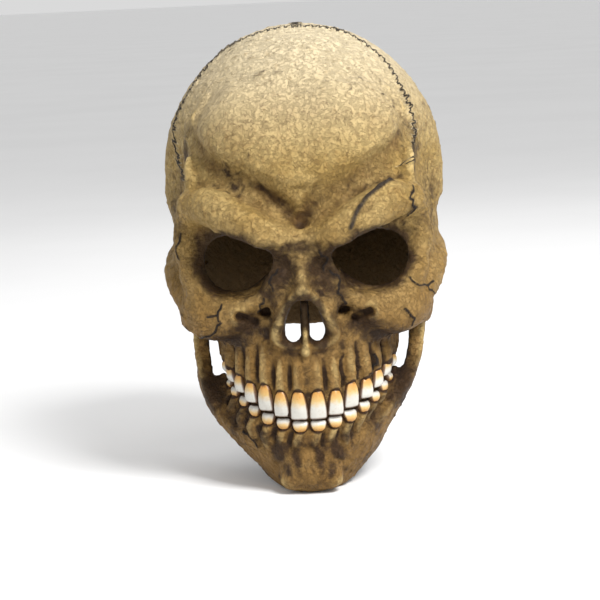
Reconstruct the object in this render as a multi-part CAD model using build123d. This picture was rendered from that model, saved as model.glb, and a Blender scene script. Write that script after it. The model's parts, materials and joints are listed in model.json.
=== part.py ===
from build123d import *
import math
import os

# Full-head latex skull mask with a hinged lower jaw.
#
# Frame: +Z up, the face looks along -Y, +X is the viewer's right when facing the mask.
# The origin is the middle of the crown pad's underside, where the top of the wearer's head rests.
# Shapes are drawn in a working frame (z = 0 under the chin, y = 0 on the jaw's hinge axis, x = 0 on
# the mid-plane) and moved to the origin when they are written.

# ---- driving dimensions, in millimetres --------------------------------------------------------
WALL = 2.6  # latex wall
GUM_WALL = 4.4  # thicker wall that carries the teeth

MASK_HEIGHT = 309.0  # chin to crown
VAULT_HALF_WIDTH = 97.5
VAULT_HALF_DEPTH = 119.0
VAULT_HALF_HEIGHT = 105.0
VAULT_Y = 12.0
VAULT_Z = MASK_HEIGHT - VAULT_HALF_HEIGHT

PAD_THICKNESS = 8.0
PAD_GAP = 0.3  # glue line between a pad and the wall
SEAT = (0.0, VAULT_Y, MASK_HEIGHT - WALL - PAD_GAP - PAD_THICKNESS)

# Middle face and nape in plan: half an ellipse in front of y = FACE_Y and half of a longer one
# behind it, as (z, half width, front y, back y).
FACE_Y = -34.0
FACE_SECTIONS = (
    (72.0, 76.0, -88.0, 104.0),
    (104.0, 84.0, -95.0, 110.0),
    (122.0, 90.0, -100.0, 115.0),
    (148.0, 93.0, -102.0, 122.0),
    (172.0, 92.0, -102.0, 127.0),
    (200.0, 84.0, -97.0, 126.0),
)
# The skull's lower hem seen from the side, as (y, z): under the cheekbones, along the arch above
# the hinge plates, then down round the nape.
CHEEK_Z = 104.0
MAXILLA_BACK_Y = -48.0
HEM = (
    (-140.0, CHEEK_Z),
    (MAXILLA_BACK_Y, CHEEK_Z),
    (-34.0, 111.0),
    (24.0, 116.0),
    (48.0, 106.0),
    (85.0, 86.0),
    (140.0, 80.0),
)

# The dental arches are half ellipses in plan about y = ARCH_Y. Both rows follow one mouth line,
# which is a circle seen from the front.
ARCH_Y = -45.0
UPPER_ARCH = (57.0, 61.0)  # half width and half depth at the gum's outer face
LOWER_ARCH = (54.0, 58.0)
MAXILLA_SECTIONS = ((40.0, 0.0), (80.0, 0.0), (116.0, 4.0))  # (z, swell beyond the arch)
MOUTH_Z = 50.5  # mouth line at the mid-plane
MOUTH_RADIUS = 73.5
SMILE_Z = MOUTH_Z + MOUTH_RADIUS
BITE_GAP = 0.5  # from the mouth line to each row's biting edges
UPPER_GUM_LIFT = 4.5  # from the mouth line to the gum's edge
LOWER_GUM_DROP = 3.5

TOOTH_DEPTH = 5.0
SOCKET_DEPTH = 2.2
SOCKET_GAP = 0.05
TOOTH_SPACE = 1.1
TOOTH_NAMES = (
    "central_incisor",
    "lateral_incisor",
    "canine",
    "first_premolar",
    "second_premolar",
    "first_molar",
    "second_molar",
)
UPPER_WIDTHS = (12.5, 11.5, 12.0, 12.0, 12.0, 14.5, 13.0)
UPPER_HEIGHTS = (20.5, 18.0, 19.5, 17.0, 15.0, 13.5, 11.5)
LOWER_WIDTHS = (11.8, 11.0, 11.2, 11.4, 11.4, 13.4, 12.4)
LOWER_HEIGHTS = (10.5, 10.5, 11.0, 10.5, 10.0, 10.0, 9.0)

# ---- openings in the face ------------------------------------------------------------------------
EYE_X = 46.0
EYE_Z = 157.5
EYE_HALF_WIDTH = 25.0
EYE_HALF_HEIGHT = 18.5
EYE_TILT = 9.0
NOSTRIL_X = 9.4
NOSTRIL_Z = (102.5, 129.5)
NOSTRIL_WIDTH = 12.0

# ---- raised bones: (centre, radii, turn about X, turn about Y) for the left one --------------------
BROW = ((37.0, -90.0, 186.0), (36.0, 20.0, 14.0), 0.0, -24.0)
CHEEKBONE = ((58.0, -71.0, 119.0), (25.0, 24.0, 14.0), 0.0, -25.0)
NASAL_BONES = ((0.0, -99.0, 153.0), (11.0, 12.0, 22.0), 18.0, 0.0)

# ---- lower jaw in plan: half an ellipse in front of y = JAW_Y with straight plates behind it -------
JAW_Y = -34.0
PLATE_X = 80.0  # outer face of the hinge plates
JAW_SECTIONS = (
    (0.0, 22.0, -95.0),
    (10.0, 34.0, -101.0),
    (30.0, 53.0, -103.5),
    (58.0, 73.0, -101.0),
    (92.0, PLATE_X, -98.0),
    (150.0, PLATE_X, -98.0),
)
PLATE_BACK_Y = 8.0  # far enough forward for the plates to swing clear of the hem
# The jaw's rim seen from the side, as (y, z): down the front of the hinge plate, then forward.
RIM = (
    (-24.0, 147.0),
    (-31.0, 120.0),
    (-35.0, 96.0),
    (-48.0, 68.0),
    (-72.0, 47.0),
    (-90.0, 32.0),
    (-112.0, 18.0),
)
SHELF_THICKNESS = 3.0
SHELF_BACK_Y = -45.0
JAW_BOTTOM = ((-76.0, -1.0), (18.0, 46.0))  # (y, z) of the lower edge, from the chin to the angle

# ---- hinge ------------------------------------------------------------------------------------------
HINGE_Z = 133.0
SHAFT_RADIUS = 3.0
SHAFT_CLEARANCE = 0.06
PLATE_EYE_RADIUS = 14.0
SIDE_PLAY = 0.3
BOSS_RADIUS = 9.0
BOSS_FACE_X = 90.0  # flat outer face of the skull's hinge boss
RIVET_HEAD = (7.5, 3.0)  # radius, thickness
RIVET_CLINCH = (4.6, 1.2)
WASHER = (7.5, 2.0)

CHIN_PAD_HALF_WIDTH = 21.0
CHIN_PAD_Z = (5.0, 21.0)


def side_mirror(shape):
    """The same shape on the other side of the mid-plane."""
    return mirror(shape, Plane.YZ)


def egg(z, half_width, front_depth, back_depth, centre_y):
    """A flat egg at height z: half an ellipse in front of centre_y and half of another behind."""
    plane = Plane((0, centre_y, z))
    front = EllipticalCenterArc((0, 0), half_width, front_depth, 180, arc_size=180)
    back = EllipticalCenterArc((0, 0), half_width, back_depth, 0, arc_size=180)
    return plane * make_face(front + back)


def arch_outline(z, half_width, front_y, centre_y, back_y):
    """A flat horseshoe at height z: half an ellipse in front of centre_y, straight sides behind."""
    depth = centre_y - front_y
    front = EllipticalCenterArc((0, 0), half_width, depth, 180, arc_size=180)
    back = back_y - centre_y
    rest = Polyline((half_width, 0), (half_width, back), (-half_width, back), (-half_width, 0))
    return Plane((0, centre_y, z)) * make_face(front + rest)


def vault(inset=0.0):
    """The cranium as an ellipsoid."""
    radii = (VAULT_HALF_WIDTH - inset, VAULT_HALF_DEPTH - inset, VAULT_HALF_HEIGHT - inset)
    return Pos(0, VAULT_Y, VAULT_Z) * scale(Sphere(1.0), radii)


def bone(place, inset=0.0):
    """A raised bone as a turned ellipsoid."""
    centre, radii, turn_x, turn_y = place
    lump = scale(Sphere(1.0), tuple(radius - inset for radius in radii))
    return Pos(*centre) * Rot(turn_x, turn_y, 0) * lump


def bones(inset=0.0):
    """Both brow ridges, both cheekbones and the nasal bones."""
    left = [bone(BROW, inset), bone(CHEEKBONE, inset)]
    return [*left, *map(side_mirror, left), bone(NASAL_BONES, inset)]


def side_prism(points, half_width=130.0):
    """A prism across the mask from an outline seen from the side, given as (y, z)."""
    outline = Plane.YZ * make_face(Polyline(*points, close=True))
    return extrude(outline, half_width, both=True)


def box(x, y, z):
    """A box from its (low, high) limits."""
    centre = [(low + high) / 2 for low, high in (x, y, z)]
    return Pos(*centre) * Box(x[1] - x[0], y[1] - y[0], z[1] - z[0])


def front_drill(x, z, half_width, half_height, tilt):
    """An elliptical bar along Y, through the face."""
    turn = math.radians(tilt)
    plane = Plane((x, -140, z), x_dir=(math.cos(turn), 0, math.sin(turn)), z_dir=(0, 1, 0))
    return extrude(plane * Ellipse(half_width, half_height), 100)


def side_bar(radius, x_low, x_high):
    """A round bar on the hinge axis."""
    return Pos((x_low + x_high) / 2, 0, HINGE_Z) * Rot(0, 90, 0) * Cylinder(radius, x_high - x_low)


def above_smile(offset):
    """A bar along Y whose lower side is the mouth line moved down by offset."""
    return Pos(0, -70, SMILE_Z) * Rot(90, 0, 0) * Cylinder(MOUTH_RADIUS + offset, 140)


def arch_column(arch, low, high, inset=0.0):
    """An upright elliptical column on a dental arch."""
    half_width, half_depth = arch
    base = Plane((0, ARCH_Y, low)) * Ellipse(half_width - inset, half_depth - inset)
    return extrude(base, high - low)


def maxilla(inset=0.0):
    """The upper jaw's column, swelling towards the cheeks."""
    half_width, half_depth = UPPER_ARCH
    rings = []
    for z, swell in MAXILLA_SECTIONS:
        size = (half_width + swell - inset, half_depth - swell / 2 - inset)
        rings.append(Plane((0, ARCH_Y, z)) * Ellipse(*size))
    return loft(rings)


def face(inset=0.0):
    """The middle face and nape as a loft of egg outlines."""
    rings = []
    for z, half_width, front_y, back_y in FACE_SECTIONS:
        front = FACE_Y - front_y - inset
        back = back_y - FACE_Y - inset
        rings.append(egg(z, half_width - inset, front, back, FACE_Y))
    return loft(rings)


def skull_outside():
    """The skull's outside as one solid, down to the hem and the upper gum's edge."""
    head = vault() + face() + bones()
    head -= side_prism([*HEM, (HEM[-1][0], 0), (HEM[0][0], 0)])
    upper_jaw = maxilla() - box((-90, 90), (MAXILLA_BACK_Y, 60), (0, 130))
    upper_jaw -= box((-90, 90), (-140, 60), (0, SMILE_Z - 20)) - above_smile(-UPPER_GUM_LIFT)
    return head + upper_jaw


def skull_inside():
    """The cavity: the same shapes a wall thickness smaller, floored under the cheekbones."""
    floor_z = CHEEK_Z + WALL
    head = vault(WALL) + face(WALL) + bones(WALL)
    head -= box((-130, 130), (-140, MAXILLA_BACK_Y), (0, floor_z))
    return head + maxilla(GUM_WALL)


def skull_shell(teeth):
    """The main casting, with eye and nose openings, tooth sockets and the hinge bosses."""
    shell = skull_outside() - skull_inside()
    eye = front_drill(EYE_X, EYE_Z, EYE_HALF_WIDTH, EYE_HALF_HEIGHT, EYE_TILT)
    nostril_z = sum(NOSTRIL_Z) / 2
    nostril_half = (NOSTRIL_Z[1] - NOSTRIL_Z[0]) / 2
    nostril = front_drill(NOSTRIL_X, nostril_z, NOSTRIL_WIDTH / 2, nostril_half, -8)
    boss = side_bar(BOSS_RADIUS, PLATE_X + SIDE_PLAY, BOSS_FACE_X)
    head_room = side_bar(BOSS_RADIUS, BOSS_FACE_X, BOSS_FACE_X + 20)
    bore = side_bar(SHAFT_RADIUS + SHAFT_CLEARANCE, PLATE_X - 5, BOSS_FACE_X + 5)
    shell += [boss, side_mirror(boss)]
    cutters = [eye, nostril, head_room, bore]
    shell -= [*cutters, *map(side_mirror, cutters)]
    shell -= [tooth(*place, grow=SOCKET_GAP) for place in teeth.values()]
    return largest_solid(shell)


def jaw_body(inset=0.0):
    """The jaw's outside as one solid, before its upper and lower edges are trimmed."""
    rings = []
    for z, half_width, front_y in JAW_SECTIONS:
        height = z + inset if z == 0.0 else z
        back_y = PLATE_BACK_Y + inset
        rings.append(arch_outline(height, half_width - inset, front_y + inset, JAW_Y, back_y))
    return loft(rings, ruled=True)


def shelf_band():
    """The band under the rim, seen from the side, as a prism."""
    low = [(y + SHELF_THICKNESS * 0.45, z - SHELF_THICKNESS) for y, z in RIM[2:]]
    return side_prism([*RIM[2:], *reversed(low)])


def lower_jaw_shell(teeth):
    """The jaw casting: outer wall, the shelf inside its rim, the gum wall and two hinge plates."""
    outside = jaw_body()
    wall = outside - jaw_body(WALL)
    top = RIM[0][1]
    wall -= side_prism([*RIM, (RIM[-1][0], top + 20), (RIM[0][0], top + 20)])
    front_only = box((-130, 130), (-140, SHELF_BACK_Y), (-20, 200))
    mouth_room = arch_column(LOWER_ARCH, -20, 120, GUM_WALL)
    shelf = (outside & shelf_band() & front_only) - mouth_room
    gum = arch_column(LOWER_ARCH, 20, 100) - mouth_room
    gum = gum & side_prism([*RIM[2:], (RIM[-1][0], 130), (RIM[2][0], 130)]) & front_only
    gum -= above_smile(LOWER_GUM_DROP)
    shell = wall + shelf + gum
    for side in (-1, 1):
        x_low, x_high = sorted((side * (PLATE_X - WALL), side * PLATE_X))
        corner = box((x_low, x_high), (-30, 30), (HINGE_Z, 160))
        shell -= corner - side_bar(PLATE_EYE_RADIUS, x_low, x_high)
        shell += side_bar(PLATE_EYE_RADIUS, x_low, x_high)
    (front_y, front_z), (back_y, back_z) = JAW_BOTTOM
    shell -= side_prism([(front_y, front_z), (back_y, back_z), (60, back_z), (60, -20), (front_y, -20)])
    shell -= side_bar(SHAFT_RADIUS + SHAFT_CLEARANCE, -100, 100)
    shell -= [tooth(*place, grow=SOCKET_GAP) for place in teeth.values()]
    return largest_solid(shell)


def largest_solid(shape):
    """The biggest solid of a shape, without the chips that a cut leaves."""
    return max(shape.solids(), key=lambda solid: solid.volume)


def mouth_z(x):
    """Height of the mouth line at x."""
    return SMILE_Z - math.sqrt(MOUTH_RADIUS**2 - x**2)


def arch_places(arch, widths):
    """For each tooth of one side: its middle on the arch and the outward direction there."""
    half_width, half_depth = arch
    middles = [sum(widths[:index]) + width / 2 for index, width in enumerate(widths)]
    places = []
    reached = 0.0
    last = (0.0, -half_depth)
    steps = 4000
    for step in range(1, steps + 1):
        angle = math.pi / 2 * step / steps
        point = (half_width * math.sin(angle), -half_depth * math.cos(angle))
        reached += math.dist(last, point)
        last = point
        if len(places) < len(middles) and reached >= middles[len(places)]:
            outward = Vector(point[0] / half_width**2, point[1] / half_depth**2).normalized()
            places.append((Vector(point[0], point[1] + ARCH_Y), outward))
    return places


def tooth_row(arch, widths, heights, upper):
    """{(side, tooth name): (middle, outward direction, width, low z, high z)} for one row."""
    row = {}
    for index, (middle, outward) in enumerate(arch_places(arch, widths)):
        bite = mouth_z(middle.X) + (BITE_GAP if upper else -BITE_GAP)
        far = bite + (heights[index] if upper else -heights[index])
        for side, sign in (("left", 1), ("right", -1)):
            spot = Vector(sign * middle.X, middle.Y)
            direction = Vector(sign * outward.X, outward.Y)
            limits = (widths[index], min(bite, far), max(bite, far))
            row[side, TOOTH_NAMES[index]] = (spot, direction, *limits)
    return row


def tooth(middle, outward, width, low, high, grow=0.0):
    """One tooth: a round-cornered block whose back is sunk in the gum wall."""
    centre = middle + outward * (TOOTH_DEPTH / 2 - SOCKET_DEPTH)
    frame = Plane((centre.X, centre.Y, (low + high) / 2), x_dir=(-outward.Y, outward.X, 0))
    size = (width - TOOTH_SPACE + 2 * grow, TOOTH_DEPTH + 2 * grow, high - low + 2 * grow)
    block = Box(*size)
    corner = 0.28 * min(size[0], size[2])
    return frame * fillet(block.edges().filter_by(Axis.Y), corner)


def vault_pad(x, y, z, along):
    """A foam pad that follows the inside of the cranium within a round-cornered box."""
    gap = WALL + PAD_GAP
    slab = vault(gap) - vault(gap + PAD_THICKNESS)
    outline = box(x, y, z)
    outline = fillet(outline.edges().filter_by(along), 12)
    return largest_solid(slab & outline)


def vault_pads():
    """The five head pads."""
    crown_z = (VAULT_Z + 60, MASK_HEIGHT)
    side_x = (VAULT_HALF_WIDTH - 40, VAULT_HALF_WIDTH)
    left_temple = vault_pad(side_x, (-22, 46), (176, 226), Axis.X)
    return {
        "crown_pad": vault_pad((-34, 34), (VAULT_Y - 42, VAULT_Y + 42), crown_z, Axis.Z),
        "forehead_pad": vault_pad((-46, 46), (-120, -60), (222, 256), Axis.Y),
        "nape_pad": vault_pad((-42, 42), (90, 140), (172, 222), Axis.Y),
        "left_temple_pad": left_temple,
        "right_temple_pad": side_mirror(left_temple),
    }


def chin_pad():
    """The foam pad behind the chin, following the jaw's inner wall."""
    gap = WALL + PAD_GAP
    slab = jaw_body(gap) - jaw_body(gap + PAD_THICKNESS)
    half = CHIN_PAD_HALF_WIDTH
    outline = box((-half, half), (-140, -70), CHIN_PAD_Z)
    return largest_solid(slab & fillet(outline.edges().filter_by(Axis.Y), 6))


def rivet():
    """The left hinge rivet: a low head outside, a shaft and a clinched end inside the plate."""
    radius, thickness = RIVET_HEAD
    head = side_bar(radius, BOSS_FACE_X, BOSS_FACE_X + thickness)
    head = fillet(head.edges().sort_by(Axis.X)[-1:], thickness * 0.6)
    washer_x = PLATE_X - WALL - SIDE_PLAY - WASHER[1]
    shaft = side_bar(SHAFT_RADIUS, washer_x, BOSS_FACE_X + 1)
    clinch = side_bar(RIVET_CLINCH[0], washer_x - RIVET_CLINCH[1], washer_x)
    return head + shaft + clinch


def washer():
    """The left washer that holds the hinge plate on its rivet."""
    outer_x = PLATE_X - WALL - SIDE_PLAY
    ring = side_bar(WASHER[0], outer_x - WASHER[1], outer_x)
    return ring - side_bar(SHAFT_RADIUS + SHAFT_CLEARANCE, 0, BOSS_FACE_X)


def write(name, shape):
    """Moves a shape from the working frame to the mask's origin and writes it."""
    export_step(Pos(*(-value for value in SEAT)) * shape, f"parts/{name}.step")


def main():
    os.makedirs("parts", exist_ok=True)
    upper = tooth_row(UPPER_ARCH, UPPER_WIDTHS, UPPER_HEIGHTS, upper=True)
    lower = tooth_row(LOWER_ARCH, LOWER_WIDTHS, LOWER_HEIGHTS, upper=False)
    for row_name, row in (("upper", upper), ("lower", lower)):
        for (side, name), place in row.items():
            write(f"{side}_{row_name}_{name}", tooth(*place))
    write("skull_shell", skull_shell(upper))
    write("lower_jaw_shell", lower_jaw_shell(lower))
    write("chin_pad", chin_pad())
    for name, pad in vault_pads().items():
        write(name, pad)
    write("left_hinge_rivet", rivet())
    write("right_hinge_rivet", side_mirror(rivet()))
    write("left_hinge_washer", washer())
    write("right_hinge_washer", side_mirror(washer()))


main()
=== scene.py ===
# A latex skull mask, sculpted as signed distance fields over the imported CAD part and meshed.
import json
import math

import bmesh
import bpy
import numpy as np
import openvdb
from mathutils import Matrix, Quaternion, Vector
from mathutils.bvhtree import BVHTree

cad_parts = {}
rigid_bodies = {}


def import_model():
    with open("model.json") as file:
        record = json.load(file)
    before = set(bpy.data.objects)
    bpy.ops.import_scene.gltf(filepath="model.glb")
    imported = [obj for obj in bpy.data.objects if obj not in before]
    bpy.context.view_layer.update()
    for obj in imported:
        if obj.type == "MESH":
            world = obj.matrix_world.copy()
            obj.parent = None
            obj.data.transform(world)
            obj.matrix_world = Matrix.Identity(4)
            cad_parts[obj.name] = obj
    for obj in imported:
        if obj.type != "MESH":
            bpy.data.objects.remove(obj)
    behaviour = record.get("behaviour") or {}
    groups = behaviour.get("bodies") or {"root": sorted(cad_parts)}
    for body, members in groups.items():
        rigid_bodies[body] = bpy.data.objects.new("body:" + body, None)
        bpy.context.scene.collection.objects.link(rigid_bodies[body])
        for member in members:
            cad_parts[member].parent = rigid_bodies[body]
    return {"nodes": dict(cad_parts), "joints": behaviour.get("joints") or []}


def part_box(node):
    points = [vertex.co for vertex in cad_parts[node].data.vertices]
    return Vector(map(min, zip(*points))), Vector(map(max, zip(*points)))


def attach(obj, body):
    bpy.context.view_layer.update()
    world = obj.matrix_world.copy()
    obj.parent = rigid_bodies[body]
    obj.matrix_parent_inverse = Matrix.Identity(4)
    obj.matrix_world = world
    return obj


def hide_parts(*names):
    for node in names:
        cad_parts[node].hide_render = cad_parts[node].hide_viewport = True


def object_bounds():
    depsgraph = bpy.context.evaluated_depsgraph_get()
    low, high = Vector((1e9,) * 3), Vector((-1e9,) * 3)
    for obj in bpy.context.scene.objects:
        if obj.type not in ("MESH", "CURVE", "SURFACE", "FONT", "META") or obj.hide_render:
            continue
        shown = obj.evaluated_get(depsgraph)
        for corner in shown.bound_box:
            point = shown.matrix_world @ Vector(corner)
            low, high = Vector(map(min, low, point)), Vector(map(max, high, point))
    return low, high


for leftover in list(bpy.data.objects):
    bpy.data.objects.remove(leftover)
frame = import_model()
CAD_LOW, CAD_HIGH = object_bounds()

# ---- the sculpting frame ---------------------------------------------------------------------------
# Sculpting is done in millimetres of a mask DESIGN_HEIGHT tall: x from the mid-plane, y from the jaw's
# hinge axis (the face is at negative y) and z from under the chin.
DESIGN_HEIGHT = 309.0
HINGE = Vector(frame["joints"][0]["pos_m"])
METRE = (CAD_HIGH.z - CAD_LOW.z) / DESIGN_HEIGHT
ORIGIN = np.array((0.0, HINGE.y, CAD_LOW.z))

VOXEL = 1.25
FAR = 60.0  # the distance written where no shape is near
GRID_MARGIN = 6.0  # the room round the CAD box for relief and sag
SHAPE_MARGIN = 8.0  # how far past its blend a shape still changes the field
MIRROR_ROUND = 6.0  # rounds |x| squared at the mid-plane, so paired shapes meet smoothly


def to_sculpt(point):
    """A point of the row frame, in sculpting millimetres."""
    return (np.array(point, float) - ORIGIN) / METRE


def to_frame(points):
    """Sculpting points as points of the row frame."""
    return np.asarray(points, float) * METRE + ORIGIN


def node_box(node):
    """A CAD node's box in sculpting millimetres."""
    low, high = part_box(node)
    return to_sculpt(low), to_sculpt(high)


HINGE_Z = to_sculpt(HINGE)[2]


# ---- distance field tools --------------------------------------------------------------------------
def smooth_max(a, b, blend):
    """The larger of two fields with a rounded corner."""
    mix = np.clip(0.5 + 0.5 * (a - b) / blend, 0, 1)
    return b + (a - b) * mix + blend * mix * (1 - mix)


def smooth_min(a, b, blend):
    """The smaller of two fields with a rounded corner."""
    return -smooth_max(-a, -b, blend)


def bell(away, reach):
    """1 at no distance, falling smoothly to 0 past reach."""
    return np.exp(-((away / reach) ** 2))


def turned(x, y, z, turn):
    """Coordinates turned back by turn degrees about X, Y and Z in that order."""
    for (first, second), degrees in zip(((1, 2), (2, 0), (0, 1)), turn):
        if degrees:
            c, s = math.cos(math.radians(degrees)), math.sin(math.radians(degrees))
            p = [x, y, z]
            p[first], p[second] = p[first] * c + p[second] * s, p[second] * c - p[first] * s
            x, y, z = p
    return x, y, z


def ball(centre, radii, turn=(0, 0, 0)):
    """An ellipsoid, as (field function, low corner, high corner)."""
    reach = max(radii) if any(turn) else np.array(radii)

    def field(x, y, z):
        p = turned(x - centre[0], y - centre[1], z - centre[2], turn)
        near = np.sqrt(sum((a / r) ** 2 for a, r in zip(p, radii)))
        slope = np.sqrt(sum((a / r**2) ** 2 for a, r in zip(p, radii)))
        return near * (near - 1) / np.maximum(slope, 1e-4)

    return field, np.array(centre) - reach, np.array(centre) + reach


def flowing(points, radii):
    """Rows of (x, y, z, radius) on a smooth curve through a rod's bends."""
    rows = np.column_stack((points, np.broadcast_to(radii, len(points)))).astype(float)
    if len(rows) == 2:
        return rows
    padded = np.vstack((2 * rows[0] - rows[1], rows, 2 * rows[-1] - rows[-2]))
    made = []
    for a, b, c, d in zip(padded, padded[1:], padded[2:], padded[3:]):
        for t in (0.0, 0.25, 0.5, 0.75):
            bend = (2 * a - 5 * b + 4 * c - d) * t * t + (3 * b - a - 3 * c + d) * t**3
            made.append(0.5 * (2 * b + (c - a) * t + bend))
    return np.array([*made, rows[-1]])


def rod(points, radii):
    """A smoothly bent rod through points whose radius changes along it."""
    rows = flowing(points, radii)

    def field(x, y, z):
        best = None
        for start, end in zip(rows, rows[1:]):
            run = (end - start)[:3]
            t = ((x - start[0]) * run[0] + (y - start[1]) * run[1] + (z - start[2]) * run[2]) / (run @ run)
            t = np.clip(t, 0, 1).astype(np.float32)
            away = (x - start[0] - t * run[0]) ** 2 + (y - start[1] - t * run[1]) ** 2
            away = np.sqrt(away + (z - start[2] - t * run[2]) ** 2) - (start[3] + t * (end[3] - start[3]))
            best = away if best is None else np.minimum(best, away)
        return best

    low = (rows[:, :3] - rows[:, 3:]).min(axis=0)
    high = (rows[:, :3] + rows[:, 3:]).max(axis=0)
    return field, low, high


class Clay:
    """A distance field on a grid, built up by adding and cutting shapes."""

    def __init__(self, low, high, mirrored):
        start = [0.0 if mirrored else low[0], low[1], low[2]]
        self.axes = [np.arange(a, b + VOXEL, VOXEL, dtype=np.float32) for a, b in zip(start, high)]
        self.field = np.full([len(a) for a in self.axes], FAR, np.float32)
        self.mirrored = mirrored

    def grid(self, window=(slice(None),) * 3, paired=True):
        """Sparse x, y, z of a window; paired shapes see a rounded |x|, so both sides meet smoothly."""
        x, y, z = np.meshgrid(*(a[w] for a, w in zip(self.axes, window)), indexing="ij", sparse=True)
        if self.mirrored and paired:
            x = np.sqrt(x * x + MIRROR_ROUND)
        return x, y, z

    def window(self, low, high, margin):
        """The part of the grid within margin of a box."""
        found = []
        for axis, a, b in zip(self.axes, low, high):
            first = max(int(np.searchsorted(axis, a - margin)) - 1, 0)
            found.append(slice(first, int(np.searchsorted(axis, b + margin)) + 1))
        return tuple(found)

    def add(self, shape, blend, paired=True):
        """Adds a shape with a fillet of about blend."""
        field, low, high = shape
        here = self.window(low, high, blend + SHAPE_MARGIN)
        self.field[here] = smooth_min(self.field[here], field(*self.grid(here, paired)), blend)

    def cut(self, shape, blend, paired=True):
        """Cuts a shape away with a rounded edge of about blend."""
        field, low, high = shape
        here = self.window(low, high, blend + SHAPE_MARGIN)
        self.field[here] = smooth_max(self.field[here], -field(*self.grid(here, paired)), blend)

    def join(self, field, blend):
        """Adds a field given over the whole grid."""
        self.field = smooth_min(self.field, field, blend)

    def trim(self, field, blend):
        """Keeps only what is inside a field given over the whole grid."""
        self.field = smooth_max(self.field, field.astype(np.float32), blend)

    def unfold(self):
        """Copies the mirrored half to the other side; gives the grid's lowest corner."""
        self.field = np.concatenate((self.field[:0:-1], self.field))
        self.axes[0] = np.concatenate((-self.axes[0][:0:-1], self.axes[0]))
        self.mirrored = False
        return np.array([axis[0] for axis in self.axes])


def eased(places, knots, values, ease):
    """Values between knots with every corner rounded over ease to each side."""
    shifts = np.linspace(-ease, ease, 9)
    return np.mean([np.interp(places + shift, knots, values) for shift in shifts], axis=0).astype(np.float32)


COLUMN_EASE = 12.0  # how far a column's outline is rounded to each side of a row


def column(x, y, z, table, centre_y, power):
    """An upright column whose plan is an egg: (height, half width, front y, back y) per row."""
    knots, *columns = zip(*table)
    half, front, back = (eased(z, knots, values, COLUMN_EASE) for values in columns)
    depth = np.where(y < centre_y, centre_y - front, back - centre_y)
    p, q = np.abs(x / half) + 1e-4, np.abs((y - centre_y) / depth) + 1e-4
    near = (p**power + q**power) ** (1 / power)
    slope = np.sqrt((p ** (power - 1) / half) ** 2 + (q ** (power - 1) / depth) ** 2)
    return (near - 1) / (slope * near ** (1 - power))


# ---- the mask's main sizes ---------------------------------------------------------------------------
SKULL_HIGH = node_box("skull_shell")[1]
JAW_HIGH = node_box("lower_jaw_shell")[1]
WALL = 2.6
GUM_WALL = 4.4
CUT_EDGE = 1.2  # rounding of the openings' and hems' cut edges

VAULT_RADII = (SKULL_HIGH[0], 119.0, 105.0)
VAULT_CENTRE = (0.0, SKULL_HIGH[1] - VAULT_RADII[1], SKULL_HIGH[2] - VAULT_RADII[2])
FACE_Y = -34.0
HEAD_COLUMN = (
    (40.0, 66.0, -62.0, 92.0),
    (72.0, 75.0, -76.0, 104.0),
    (104.0, 84.5, -88.0, 110.0),
    (124.0, 87.5, -93.0, 116.0),
    (148.0, 88.5, -95.0, 122.0),
    (172.0, 88.5, -95.0, 125.0),
    (196.0, 88.5, -96.0, 125.0),
    (245.0, 60.0, -70.0, 95.0),
)
CHEEK_Z = 104.0
MAXILLA_BACK_Y = -47.0
HEM = (
    (-48.0, 102.0),
    (-34.0, 111.0),
    (-8.0, 120.0),
    (28.0, 120.0),
    (52.0, 105.0),
    (85.0, 86.0),
    (140.0, 80.0),
)

PLATE_X = JAW_HIGH[0]
PLATE_BACK_Y = JAW_HIGH[1]
JAW_Y = -34.0
OPEN_BACK = 900.0  # the jaw's column runs on past the back of its grid
JAW_COLUMN = (
    (0.0, 27.0, -95.0, OPEN_BACK),
    (10.0, 38.0, -101.0, OPEN_BACK),
    (30.0, 54.5, -103.5, OPEN_BACK),
    (58.0, 73.0, -101.0, OPEN_BACK),
    (92.0, PLATE_X, -98.0, OPEN_BACK),
    (150.0, PLATE_X, -98.0, OPEN_BACK),
)
RIM = (
    (-24.0, 147.0),
    (-31.0, 120.0),
    (-35.0, 96.0),
    (-48.0, 74.0),
    (-72.0, 49.0),
    (-90.0, 32.0),
    (-112.0, 18.0),
)
JAW_BOTTOM = ((-76.0, -1.0), (18.0, 46.0))
PLATE_DEPTH = 11.0
PLATE_WALL = 2.8
PLATE_END_RADIUS = 14.0
PLATE_WAIST = 5.0  # how far the plates' back edges curve in, so that they swing clear of the hem

BOSS_FACE_X = node_box("left_hinge_rivet")[1][0] - 3.0
BOSS_RADIUS = 9.5
RECESS_RADIUS = 8.6  # the boss's dish for the rivet's head
BORE_RADIUS = 3.8

ARCH_Y = -45.0
UPPER_ARCH = (57.0, 61.0)
LOWER_ARCH = (54.0, 58.0)
ARCH_MARGIN = 6.0  # how far past the upper arch the upper jaw's column reaches
GUM_BACK_Y = -44.0
TOOTH_DEPTH = 5.0
MOUTH_RADIUS = 73.5
SMILE_Z = 50.5 + MOUTH_RADIUS
GUM_SETBACK = 1.5  # from the mouth line to each gum's edge, between the teeth
LIP_SETBACK = 2.0  # from the lower gum's face to the lip inside it, which closes the gap between the rows
LIP_RISE = 3.5


def arch_share(x, y, half, depth):
    """How far out from the arches' middle a place is: 1 on an arch of that half width and depth."""
    return np.sqrt((x / half) ** 2 + ((y - ARCH_Y) / depth) ** 2)


def arch_distance(x, y, half, depth):
    """The distance to an upright wall along an arch, negative inside it."""
    near = arch_share(x, y, half, depth)
    slope = np.sqrt((x / half**2) ** 2 + ((y - ARCH_Y) / depth**2) ** 2)
    return near * (near - 1) / np.maximum(slope, 1e-4)


def from_smile(x, z):
    """The distance from the middle of the circle that the mouth line follows."""
    return np.sqrt((z - SMILE_Z) ** 2 + x * x)


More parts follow.
